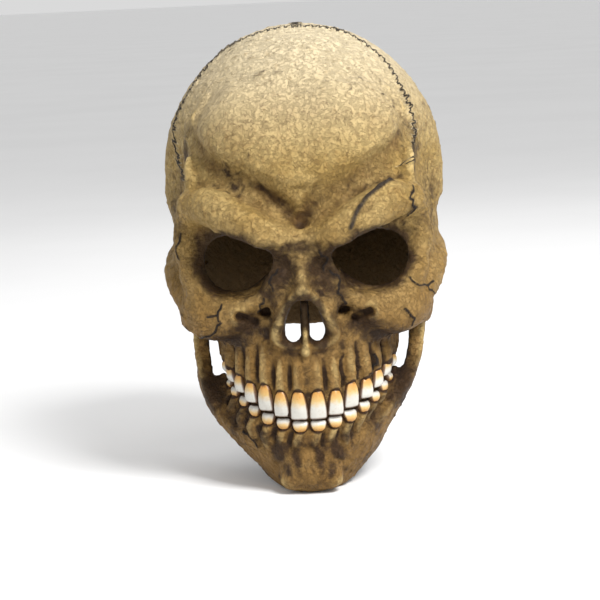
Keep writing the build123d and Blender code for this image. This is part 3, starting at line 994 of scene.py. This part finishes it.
def latex_skin(name, clay, solid, low, body, node):
    """A latex casting with its creases, pits, seams and cracks, and the marks its paint, its painted shade
    and its painted highlights follow.
    """
    points, quads = surface(clay.field, low)
    normals = normals_of(points, quads)
    outside = np.clip(1.5 - np.abs(sample(solid, low, points)) / 0.9, 0, 1)
    tree = BVHTree.FromPolygons(points.tolist(), quads.tolist())
    crack, scar = crack_distance(points, tree), np.full(len(points), LINE_REACH)
    along, across = np.zeros(len(points)), np.full(len(points), NO_SEAM)
    if node == "skull_shell":
        along, across = seam_places(points)
        scar = distance_to_line(points, on_front(tree, SCAR), LINE_REACH)
    relief = skin_relief(points, seam_distance(along, across), across, crack, scar)
    gum = tooth_distance(points, node == "skull_shell")
    clipped = np.clip(solid, -HOLLOW_REACH, HOLLOW_REACH)
    fine, wide = (sample(blurred(clipped, far), low, points) / one for far, one in (FINE_HOLLOW, WIDE_HOLLOW))
    marks = {
        "wash_and_shade": skin_shade_wash(points, node),
        "hollow_fine": fine,
        "hollow_wide": wide,
        "relief": relief,
        "seam_along": along,
        "seam_across": across,
        "crack": crack,
        "scar": scar,
        "gum": gum,
        "outside": outside,
        "height": points[:, 2],
    }
    first, last = HINGE_STILL
    still = np.clip((np.hypot(points[:, 1], points[:, 2] - HINGE_Z) - first) / (last - first), 0, 1)
    still = np.where(np.abs(points[:, 0]) > SIDE_X, still, 1.0)
    inner_noise = 0.25 * noise(points, 6.0, 8) * (1 - outside)
    plates = (node == "lower_jaw_shell") & (points[:, 2] > PLATE_Z)
    relief = np.where(plates, np.minimum(relief, 0.0), relief)
    points = points + normals * ((relief * outside + inner_noise) * still)[:, None]
    if node == "lower_jaw_shell":
        points[:, 0] -= JAW_SAG * bell(points[:, 2] - SAG_Z, SAG_REACH) * gum / GUM_REACH
    piece = make_object(name, points, quads, body, node)
    for mark, values in marks.items():
        paint(piece, mark, values)
    return piece, points, quads


def tooth_distance(points, upper):
    """Each point's distance to the nearest crown of its own jaw, up to GUM_REACH."""
    nearest = np.full(len(points), GUM_REACH)
    for tooth in TEETH:
        if tooth.upper == upper:
            flat = points - tooth.middle
            height = abs(tooth.gum_z - tooth.bite_z)
            rise = np.abs(points[:, 2] - tooth.bite_z)
            past = np.where((points[:, 2] - tooth.bite_z) * (tooth.gum_z - tooth.bite_z) < 0, rise, 0.0)
            across, up = np.abs(flat @ tooth.side), np.where(past > 0, 0.0, rise)
            arch = ((across / (tooth.width / 2)) ** 2.2 + (up / height) ** 2.6 + 1e-6) ** (1 / 2.4)
            beside = np.hypot(across, up) * np.maximum(1 - 1 / arch, 0)
            out = np.maximum(np.abs(flat @ tooth.out) - 3.0, 0)
            nearest = np.minimum(nearest, np.sqrt(beside**2 + past**2 + out**2))
    return nearest


# ---- teeth --------------------------------------------------------------------------------------------
CROWN_RINGS = 28
CROWN_STEPS = 40
CROWN_SQUARE = 0.75


def crown_ring(tooth, h, tilt, twist):
    """One ring of a crown: h runs from 0 at the gum to 1 at the biting edge."""
    front = tooth.kind in ("incisor", "canine")
    height = abs(tooth.bite_z - tooth.gum_z)
    corner = (2.4 if front else 3.2) / height
    to_end = min(1.0, max(0.0, (h - 1 + corner) / corner))
    bite = math.sqrt(1 - to_end**2.4 + 1e-6)
    arch = (1 - (1 - h) ** 2.6 + 1e-4) ** 0.45
    wide = (tooth.width + 0.5) / 2 * arch * (0.96 + 0.04 * h) * (0.62 + 0.38 * bite)
    deep = (3.1 - (1.3 if front else 0.3) * h**2) * arch**0.6 * (0.30 + 0.70 * bite)
    if h > 0.999:
        wide, deep = wide * 0.5, deep * 0.2
    lean = 0.8 * math.sin(math.pi * min(1.0, h * 1.1)) - (0.6 if front else 0.1) * h**3 - 0.5 + tilt * h
    z = tooth.gum_z + (tooth.bite_z - tooth.gum_z) * h
    points, edge = [], []
    for c, s in angles(CROWN_STEPS):
        side, out = wide * squared(c, CROWN_SQUARE), deep * squared(s, CROWN_SQUARE)
        lobes = 0.16 * math.cos(side / wide * 5.0) * h * (1 - h) * 4 if s > 0 else 0.0
        bow = side * side / 110.0 - twist * side * h
        points.append(tooth.point(side, out + lean - bow + lobes, z))
        edge.append(abs(c) ** CROWN_SQUARE)
    return points, edge


def build_tooth(tooth):
    """A tooth's crown: rings from an arched gum end to a rounded biting edge."""
    seed = sum(map(ord, tooth.node))
    rng = np.random.default_rng(seed)
    tilt, twist = rng.uniform(-0.5, 0.5), rng.uniform(-0.05, 0.05)
    places = (1 - np.cos(np.linspace(0, math.pi, CROWN_RINGS))) / 2
    points, along, edges = [], [], []
    for h in places:
        ring, edge = crown_ring(tooth, h, tilt, twist)
        points += ring
        along += [h] * CROWN_STEPS
        edges += edge
    faces = ring_quads(CROWN_RINGS, CROWN_STEPS)
    faces.append(tuple(range(CROWN_STEPS - 1, -1, -1)))
    faces.append(tuple(range(len(points) - CROWN_STEPS, len(points))))
    if tooth.upper:
        faces = [face[::-1] for face in faces]
    points = warped(np.array(points), 2.6, 0.14, seed)
    body = "skull" if tooth.upper else "jaw"
    piece = make_object(tooth.node + "_crown", points, faces, body, tooth.node)
    paint(piece, "along", np.array(along) * (1.0 if tooth.upper else 0.82))
    paint(piece, "edge", edges)
    paint(piece, "bite", along)
    return piece


# ---- pads and hinges -----------------------------------------------------------------------------------
PAD_DIRECTIONS = {
    "crown_pad": (0, 0, 1),
    "forehead_pad": (0, -1, 0),
    "nape_pad": (0, 1, 0),
    "left_temple_pad": (1, 0, 0),
    "right_temple_pad": (-1, 0, 0),
    "chin_pad": (0, -1, 0),
}
JAW_MIDDLE_Y = -30.0
PAD_INSET = 1.5
PAD_THICKNESS = 7.6
PAD_SQUARE = 0.5
PAD_RINGS = 17
PAD_STEPS = 72
GLUE_LINE = 0.5


def pad_sheets(node, tree, body):
    """Rings of points on a pad's glued face and on its crowned face, with the way out to the skin."""
    low, high = node_box(node)
    out = np.array(PAD_DIRECTIONS[node], float)
    middle = (low + high) / 2
    inside = (0.0, JAW_MIDDLE_Y if body == "jaw" else VAULT_CENTRE[1], VAULT_CENTRE[2])
    start = np.where(out == 0, middle, inside)
    first = np.array((0, 1.0, 0) if out[0] else (1.0, 0, 0))
    second = np.cross(out, first)
    half = (high - low) / 2 - PAD_INSET
    spans = (abs(first @ half), abs(second @ half))
    glued, crowned = [], []
    for ring in range(PAD_RINGS):
        r = math.sin(math.pi / 2 * ring / (PAD_RINGS - 1))
        rise = PAD_THICKNESS * max(1 - r**7, 0.0) ** 0.42 * (1 - 0.12 * r * r)
        rise = max(rise, 0.8 if ring < PAD_RINGS - 1 else 0.4)
        for c, s in angles(PAD_STEPS):
            across, up = r * spans[0] * squared(c, PAD_SQUARE), r * spans[1] * squared(s, PAD_SQUARE)
            base = start + across * first + up * second
            hit = cast(tree, base, out)
            if hit is None:
                hit = base + out * (middle @ out)
            glued.append(hit - out * GLUE_LINE)
            crowned.append(hit - out * (GLUE_LINE + rise))
    return np.array(glued), np.array(crowned), out


def build_pad(node, tree, body):
    """A crowned foam pad laid on the skin's inside where the CAD pad is."""
    glued, crowned, out = pad_sheets(node, tree, body)
    crowned += 0.35 * noise(crowned, 5.0, 12)[:, None] * -out
    count = len(glued)
    faces = ring_quads(PAD_RINGS, PAD_STEPS)
    faces += [(count + a, count + d, count + c, count + b) for a, b, c, d in faces]
    rim = count - PAD_STEPS
    for step in range(PAD_STEPS):
        a, b = rim + step, rim + (step + 1) % PAD_STEPS
        faces.append((a, b, count + b, count + a))
    piece = make_object(node + "_foam", np.concatenate((glued, crowned)), faces, body, node)
    close_up(piece)
    return piece


def close_up(piece):
    """Merges a piece's doubled points and turns its faces outward."""
    mesh = bmesh.new()
    mesh.from_mesh(piece.data)
    bmesh.ops.remove_doubles(mesh, verts=mesh.verts, dist=1e-6)
    bmesh.ops.dissolve_degenerate(mesh, edges=mesh.edges, dist=1e-7)
    bmesh.ops.recalc_face_normals(mesh, faces=mesh.faces)
    mesh.to_mesh(piece.data)
    mesh.free()
    piece.data.shade_smooth()


TURN_STEPS = 64
SHAFT_RADIUS = 3.0


def hinge_node(side, part):
    """A hinge part's CAD node, with its inner and outer |x| and its radius."""
    node = ("left_hinge_" if side > 0 else "right_hinge_") + part
    low, high = node_box(node)
    inner, outer = sorted((abs(low[0]), abs(high[0])))
    return node, inner, outer, (high[1] - low[1]) / 2


def turned_piece(name, profile, side, node):
    """A closed profile of (x, radius) turned about the hinge axis, on one side."""
    points = []
    for x, radius in profile:
        points += [(side * x, radius * c, HINGE_Z + radius * s) for c, s in angles(TURN_STEPS)]
    quads = ring_quads(len(profile) + 1, TURN_STEPS)
    faces = [[corner % len(points) for corner in quad] for quad in quads]
    piece = make_object(name, points, faces, "skull", node)
    close_up(piece)
    return piece


def build_rivet(side):
    """A hinge rivet: domed head with a shallow dish, shaft and clinched end."""
    node, inner, outer, head = hinge_node(side, "rivet")
    clinch = SHAFT_RADIUS + 1.5
    profile = [(inner, 0.02), (inner, clinch - 1.3)]
    for a in np.linspace(0.2, math.pi / 2, 5):
        profile.append((inner + 0.35 * (1 - math.cos(a)), clinch - 1.3 * (1 - math.sin(a))))
    profile += [(inner + 1.1, clinch), (inner + 1.2, clinch - 0.2), (inner + 1.2, SHAFT_RADIUS)]
    face = outer - 3.0
    profile += [(face, SHAFT_RADIUS), (face, head - 0.4), (face + 0.4, head), (face + 1.2, head)]
    for a in np.linspace(0.15, math.pi / 2, 8):
        profile.append((face + 1.2 + 1.7 * math.sin(a), head - 0.62 * head * (1 - math.cos(a))))
    profile += [(outer - 0.25, head * 0.33), (outer - 0.6, head * 0.27), (outer - 0.75, 0.02)]
    return turned_piece(node + "_cap", profile, side, node)


def build_washer(side):
    """A hinge washer: a flat ring with rounded edges."""
    node, inner, outer, edge = hinge_node(side, "washer")
    bore = SHAFT_RADIUS + 0.1
    profile = [(inner, bore + 0.3), (inner, edge - 0.5), (inner + 0.15, edge - 0.15), (inner + 0.5, edge)]
    profile += [(outer - 0.5, edge), (outer - 0.15, edge - 0.15), (outer, edge - 0.5), (outer, bore + 0.3)]
    profile += [(outer - 0.3, bore), (inner + 0.3, bore)]
    return turned_piece(node + "_ring", profile, side, node)


# ---- materials -----------------------------------------------------------------------------------------
def colour(red, green, blue):
    """A colour given in 0 to 255 steps, as the shader's linear numbers."""
    steps = [value / 255 for value in (red, green, blue)]
    return [s / 12.92 if s < 0.04045 else ((s + 0.055) / 1.055) ** 2.4 for s in steps] + [1.0]


class Paint:
    """A material's node tree, written one step at a time."""

    def __init__(self, name):
        self.material = bpy.data.materials.new(name)
        self.material.use_nodes = True
        self.nodes = self.material.node_tree.nodes
        self.links = self.material.node_tree.links
        self.shader = self.nodes["Principled BSDF"]
        self.place = self.nodes.new("ShaderNodeTexCoord").outputs["Object"]

    def feed(self, socket, value):
        """Links an output to a socket, or sets a plain number on it."""
        if isinstance(value, bpy.types.NodeSocket):
            self.links.new(value, socket)
        else:
            socket.default_value = value

    def attribute(self, name):
        """The numbers that paint() stored."""
        node = self.nodes.new("ShaderNodeAttribute")
        node.attribute_name = name
        return node.outputs["Fac"]

    def math(self, operation, *values):
        """One sum."""
        node = self.nodes.new("ShaderNodeMath")
        node.operation = operation
        for socket, value in zip(node.inputs, values):
            self.feed(socket, value)
        return node.outputs[0]

    def plus(self, a, b, share=1.0):
        """a plus a share of b."""
        return self.math("MULTIPLY_ADD", b, share, a)

    def band(self, value, start, end, low=0.0, high=1.0):
        """A smooth step from low at start to high at end."""
        node = self.nodes.new("ShaderNodeMapRange")
        node.interpolation_type = "SMOOTHSTEP"
        self.feed(node.inputs["Value"], value)
        for name, number in (("From Min", start), ("From Max", end), ("To Min", low), ("To Max", high)):
            node.inputs[name].default_value = number
        return node.outputs["Result"]

    def mix(self, factor, a, b):
        """Colour a turning into colour b."""
        node = self.nodes.new("ShaderNodeMix")
        node.data_type = "RGBA"
        self.feed(node.inputs["Factor"], factor)
        sockets = [s for s in node.inputs if s.type == "RGBA"]
        self.feed(sockets[0], a)
        self.feed(sockets[1], b)
        return next(s for s in node.outputs if s.type == "RGBA")

    def layer(self, base, paint, value, *limits):
        """A colour, given in 0 to 255 steps, laid over base where value's band is high."""
        return self.mix(self.band(value, *limits), base, colour(*paint))

    def grain(self, size, detail=4.0, rough=0.55, bend=0.0):
        """Noise from 0 to 1 whose lumps are about size metres wide."""
        node = self.nodes.new("ShaderNodeTexNoise")
        node.inputs["Scale"].default_value = 1.0 / size
        node.inputs["Detail"].default_value = detail
        node.inputs["Roughness"].default_value = rough
        node.inputs["Distortion"].default_value = bend
        self.links.new(self.place, node.inputs["Vector"])
        return node.outputs["Fac"]

    def cells(self, size):
        """The distance to the edges between cells about size metres wide."""
        node = self.nodes.new("ShaderNodeTexVoronoi")
        node.feature = "DISTANCE_TO_EDGE"
        node.inputs["Scale"].default_value = 1.0 / size
        self.links.new(self.place, node.inputs["Vector"])
        return node.outputs["Distance"]

    def bump(self, height, depth, under=None):
        """A normal that follows a height of depth metres."""
        node = self.nodes.new("ShaderNodeBump")
        node.inputs["Distance"].default_value = depth
        self.feed(node.inputs["Height"], height)
        if under:
            self.feed(node.inputs["Normal"], under)
        return node.outputs["Normal"]

    def finish(self, base, roughness, normal):
        """Links the finished base colour, roughness and normal."""
        self.feed(self.shader.inputs["Base Color"], base)
        self.feed(self.shader.inputs["Roughness"], roughness)
        self.feed(self.shader.inputs["Normal"], normal)
        return self.material


def seam_line(p):
    """The distance to the seams' zigzag, worked out as seam_distance does."""
    along, across = p.attribute("seam_along"), p.attribute("seam_across")
    line, slope = 0.0, 0.0
    for size, beat, wander, wander_beat, start in SEAM_WAVES:
        swing = p.math("SINE", p.math("MULTIPLY", along, wander_beat))
        phase = p.plus(p.plus(start, swing, wander), along, beat)
        line = p.plus(line, p.math("SINE", phase), size)
        slope = p.plus(slope, p.math("COSINE", phase), size * beat)
    steep = p.math("SQRT", p.plus(1.0, slope, slope))
    away = p.math("ABSOLUTE", p.math("SUBTRACT", across, line))
    return p.math("DIVIDE", away, steep)


def latex_colour(p, speck, thread, seam):
    """Ochre with painted shade and a brown wash in its hollows and creases, painted highlights on its ridges,
    and dark seams and cracks.
    """
    fine, relief, height = p.attribute("hollow_fine"), p.attribute("relief"), p.attribute("height")
    blotch, smear = p.grain(0.030), p.grain(0.010, detail=7.0, bend=1.5)
    base = p.mix(p.band(blotch, 0.35, 0.65), colour(154, 127, 72), colour(177, 151, 96))
    base = p.layer(base, (138, 108, 58), smear, 0.45, 0.68, 0.0, 0.5)
    # painted light from above: lighter towards the top; darker and browner towards the face's foot
    base = p.layer(base, (212, 196, 162), height, 215.0, 305.0, 0.0, 0.9)
    base = p.layer(base, (120, 86, 40), p.plus(height, smear, 60.0), 110.0, 265.0, 0.8, 0.0)
    base = p.layer(base, (118, 88, 46), speck, 0.55, 0.75, 0.0, 0.5)
    # painted highlight on ridges, painted shade with the brown wash in wide hollows, and soft patches of
    # painted shade with the brown wash
    base = p.layer(base, (206, 178, 118), p.plus(fine, relief, 0.28), 0.25, 1.0, 0.0, 0.75)
    # painted shade with the mask's brown wash, darker in wide hollows
    deep = p.plus(p.math("MULTIPLY", smear, 0.6), p.attribute("hollow_wide"), -1.0)
    base = p.layer(base, (88, 60, 28), deep, 0.30, 1.10, 0.0, 0.85)
    # soft patches of painted shade with the brown wash
    shade_patches = p.plus(p.attribute("wash_and_shade"), p.math("SUBTRACT", smear, 0.5), 1.1)
    base = p.layer(base, (52, 34, 17), shade_patches, 0.12, 0.85, 0.0, 0.95)
    # the darkest painted shade with the brown wash, in creases, and painted shade round the teeth
    crease_shade = p.plus(p.plus(p.math("MULTIPLY", speck, 0.5), fine, -1.0), relief, -0.6)
    crease_shade = p.plus(crease_shade, p.band(height, 90.0, 190.0, 0.12, -0.12))
    base = p.layer(base, (44, 28, 14), crease_shade, 0.48, 1.1, 0.0, 0.95)
    base = p.mix(p.math("MULTIPLY", thread, 0.8), base, colour(84, 58, 30))
    # painted shade round the teeth, in the gaps beside each crown
    base = p.layer(base, (52, 31, 17), p.attribute("gum"), 0.5, 1.9, 0.95, 0.0)
    # drawn lines
    base = p.layer(base, (220, 204, 170), seam, 0.9, 1.8, 0.35, 0.0)
    base = p.layer(base, (36, 27, 19), seam, 0.45, 1.0, 0.95, 0.0)
    base = p.layer(base, (32, 24, 18), p.attribute("crack"), 0.35, 1.2, 0.95, 0.0)
    base = p.layer(base, (56, 48, 40), p.attribute("scar"), 0.6, 2.6, 0.85, 0.0)
    # the plain inside
    return p.layer(base, (116, 91, 56), p.attribute("outside"), 0.0, 0.7, 1.0, 0.0)


def latex_material():
    """Painted latex with a fine leathery grain."""
    p = Paint("painted_latex")
    speck = p.grain(0.0055, detail=7.0, rough=0.62)
    crumple = p.math("SUBTRACT", p.grain(0.0045, detail=7.0, rough=0.62, bend=0.3), 0.5)
    crumple = p.math("ABSOLUTE", crumple)
    shown = p.band(p.grain(0.0048, detail=3.0), 0.54, 0.66)
    thread = p.math("MULTIPLY", p.band(crumple, 0.0, 0.022, 1.0, 0.0), shown)
    seam = seam_line(p)
    normal = p.bump(speck, 0.0028, p.bump(p.grain(0.0022, detail=6.0, rough=0.7), 0.0007))
    normal = p.bump(p.band(crumple, 0.0, 0.06), 0.0004, normal)
    normal = p.bump(p.band(seam, 0.2, 1.0), 0.0009, normal)
    p.shader.inputs["Specular IOR Level"].default_value = 0.2
    return p.finish(latex_colour(p, speck, thread, seam), p.band(speck, 0.3, 0.7, 0.46, 0.66), normal)


def enamel_material():
    """Tooth enamel: white at the biting edge, yellow towards the gum, painted shade as a brown outline round
    the crown.
    """
    p = Paint("tooth_enamel")
    along = p.plus(p.attribute("along"), p.math("SUBTRACT", p.grain(0.0035), 0.5), 0.3)
    base = p.mix(p.band(along, 0.0, 0.14), colour(84, 50, 24), colour(188, 136, 66))
    base = p.layer(base, (200, 168, 108), along, 0.10, 0.45)
    base = p.layer(base, (198, 195, 186), along, 0.34, 0.66)
    # painted shade: brown over the biting end and down the crown's sides, where the gaps between the teeth
    # are
    base = p.layer(base, (88, 54, 30), p.attribute("bite"), 0.92, 0.985, 0.0, 0.85)
    base = p.layer(base, (88, 54, 30), p.attribute("edge"), 0.80, 0.97, 0.0, 0.9)
    base = p.layer(base, (168, 128, 72), p.grain(0.0016, detail=5.0), 0.58, 0.75, 0.0, 0.3)
    rough = p.band(p.grain(0.003), 0.3, 0.7, 0.25, 0.42)
    normal = p.bump(p.grain(0.0012, detail=5.0), 0.0002)
    return p.finish(base, rough, normal)


def foam_material():
    """Dark open-cell foam."""
    p = Paint("pad_foam")
    pores = p.cells(0.0011)
    base = p.mix(p.band(p.grain(0.012), 0.35, 0.65), colour(70, 67, 64), colour(56, 53, 50))
    base = p.layer(base, (24, 22, 20), pores, 0.0, 0.16, 0.6, 0.0)
    normal = p.bump(p.band(pores, 0.0, 0.3), 0.0004, p.bump(p.grain(0.004), 0.0006))
    return p.finish(base, p.band(p.grain(0.002), 0.3, 0.7, 0.85, 0.97), normal)


def hinge_material():
    """Bone-coloured moulded plastic with fine moulding texture and rubbed brown paint."""
    p = Paint("hinge_plastic")
    base = p.mix(p.band(p.grain(0.003, detail=5.0), 0.4, 0.65), colour(150, 122, 78), colour(178, 150, 102))
    base = p.layer(base, (92, 68, 42), p.grain(0.0012), 0.6, 0.78, 0.0, 0.6)
    normal = p.bump(p.grain(0.0006, detail=3.0), 0.0001)
    return p.finish(base, p.band(p.grain(0.002), 0.3, 0.7, 0.38, 0.55), normal)


def floor_material():
    """A plain pale floor."""
    p = Paint("pale_floor")
    base = p.mix(p.band(p.grain(0.4), 0.3, 0.7), colour(238, 238, 238), colour(241, 241, 241))
    return p.finish(base, 0.8, p.bump(p.grain(0.01), 0.0001))


# ---- camera, floor and light -----------------------------------------------------------------------------
CAMERA_TARGET = Vector((-0.0048, -0.052, (CAD_LOW.z + CAD_HIGH.z) / 2 - 0.0325))
CAMERA_ANGLES = (2.2, 8.0)
CAMERA_DISTANCE = 1.485
CAMERA_LENS = 130.0
CAMERA_ROLL = -2.7
SKY_STRENGTH = 0.7
# name, azimuth, elevation, distance, size and power
LIGHTS = (
    ("key", 40.0, 46.0, 1.6, 0.6, 34.0),
    ("fill", -60.0, 20.0, 2.0, 1.2, 1.0),
    ("back", 170.0, 45.0, 1.8, 1.0, 6.0),
)
FLOOR_RINGS = 12
FLOOR_STEPS = 64
FLOOR_REACH = 120.0


def build_floor():
    """A wide round floor at the height of the mask's chin, with finer rings near the mask."""
    points = [(0.0, 0.0, CAD_LOW.z)]
    for ring in range(1, FLOOR_RINGS + 1):
        radius = FLOOR_REACH * (ring / FLOOR_RINGS) ** 4
        points += [(radius * c, radius * s, CAD_LOW.z) for c, s in angles(FLOOR_STEPS)]
    faces = [(0, 1 + step, 1 + (step + 1) % FLOOR_STEPS) for step in range(FLOOR_STEPS)]
    faces += [(a, d, c, b) for a, b, c, d in ring_quads(FLOOR_RINGS, FLOOR_STEPS, 1)]
    mesh = bpy.data.meshes.new("floor")
    mesh.from_pydata(points, [], faces)
    floor = placed("floor", mesh)
    floor.data.materials.append(floor_material())


def aim(thing, place, target, roll=0.0):
    """Puts a camera or light at a place, looking at a target."""
    thing.location = place
    turn = (Vector(target) - Vector(place)).to_track_quat("-Z", "Y")
    thing.rotation_mode = "QUATERNION"
    thing.rotation_quaternion = turn @ Quaternion((0, 0, 1), math.radians(roll))


def around_mask(azimuth, elevation, distance, target):
    """A place seen from the front's azimuth and elevation, at a distance from the target."""
    a, e = math.radians(azimuth), math.radians(elevation)
    back = Vector((math.sin(a) * math.cos(e), -math.cos(a) * math.cos(e), math.sin(e)))
    return Vector(target) + distance * back


def build_camera():
    """The camera that sees the mask from the front, a little above."""
    data = bpy.data.cameras.new("camera")
    data.lens, data.sensor_width, data.clip_end = CAMERA_LENS, 36.0, 300.0
    camera = placed("camera", data)
    aim(camera, around_mask(*CAMERA_ANGLES, CAMERA_DISTANCE, CAMERA_TARGET), CAMERA_TARGET, CAMERA_ROLL)
    bpy.context.scene.camera = camera


def build_light(name, azimuth, elevation, distance, size, power):
    """A square soft light aimed at the mask."""
    data = bpy.data.lights.new(name, "AREA")
    data.size, data.energy = size, power
    aim(placed(name, data), around_mask(azimuth, elevation, distance, CAMERA_TARGET), CAMERA_TARGET)


def build_world():
    """Even white light from all round."""
    world = bpy.data.worlds.new("studio")
    world.use_nodes = True
    sky = world.node_tree.nodes["Background"]
    sky.inputs["Color"].default_value = (1.0, 1.0, 1.0, 1.0)
    sky.inputs["Strength"].default_value = SKY_STRENGTH
    bpy.context.scene.world = world


# ---- the whole mask ----------------------------------------------------------------------------------
def build_mask():
    """Every visible piece, with its material."""
    latex, enamel, foam, hinge = latex_material(), enamel_material(), foam_material(), hinge_material()
    skins = {}
    for body, node, sculpt in (("skull", "skull_shell", skull_field), ("jaw", "lower_jaw_shell", jaw_field)):
        piece, points, quads = latex_skin(body + "_skin", *sculpt(), body, node)
        piece.data.materials.append(latex)
        skins[body] = BVHTree.FromPolygons(points.tolist(), quads.tolist())
    for tooth in TEETH:
        build_tooth(tooth).data.materials.append(enamel)
    for node in PAD_DIRECTIONS:
        body = "jaw" if node == "chin_pad" else "skull"
        build_pad(node, skins[body], body).data.materials.append(foam)
    for side in (-1, 1):
        build_rivet(side).data.materials.append(hinge)
        build_washer(side).data.materials.append(hinge)


build_mask()
build_floor()
build_camera()
build_world()
for light in LIGHTS:
    build_light(*light)
bpy.context.scene.view_settings.view_transform = "Standard"
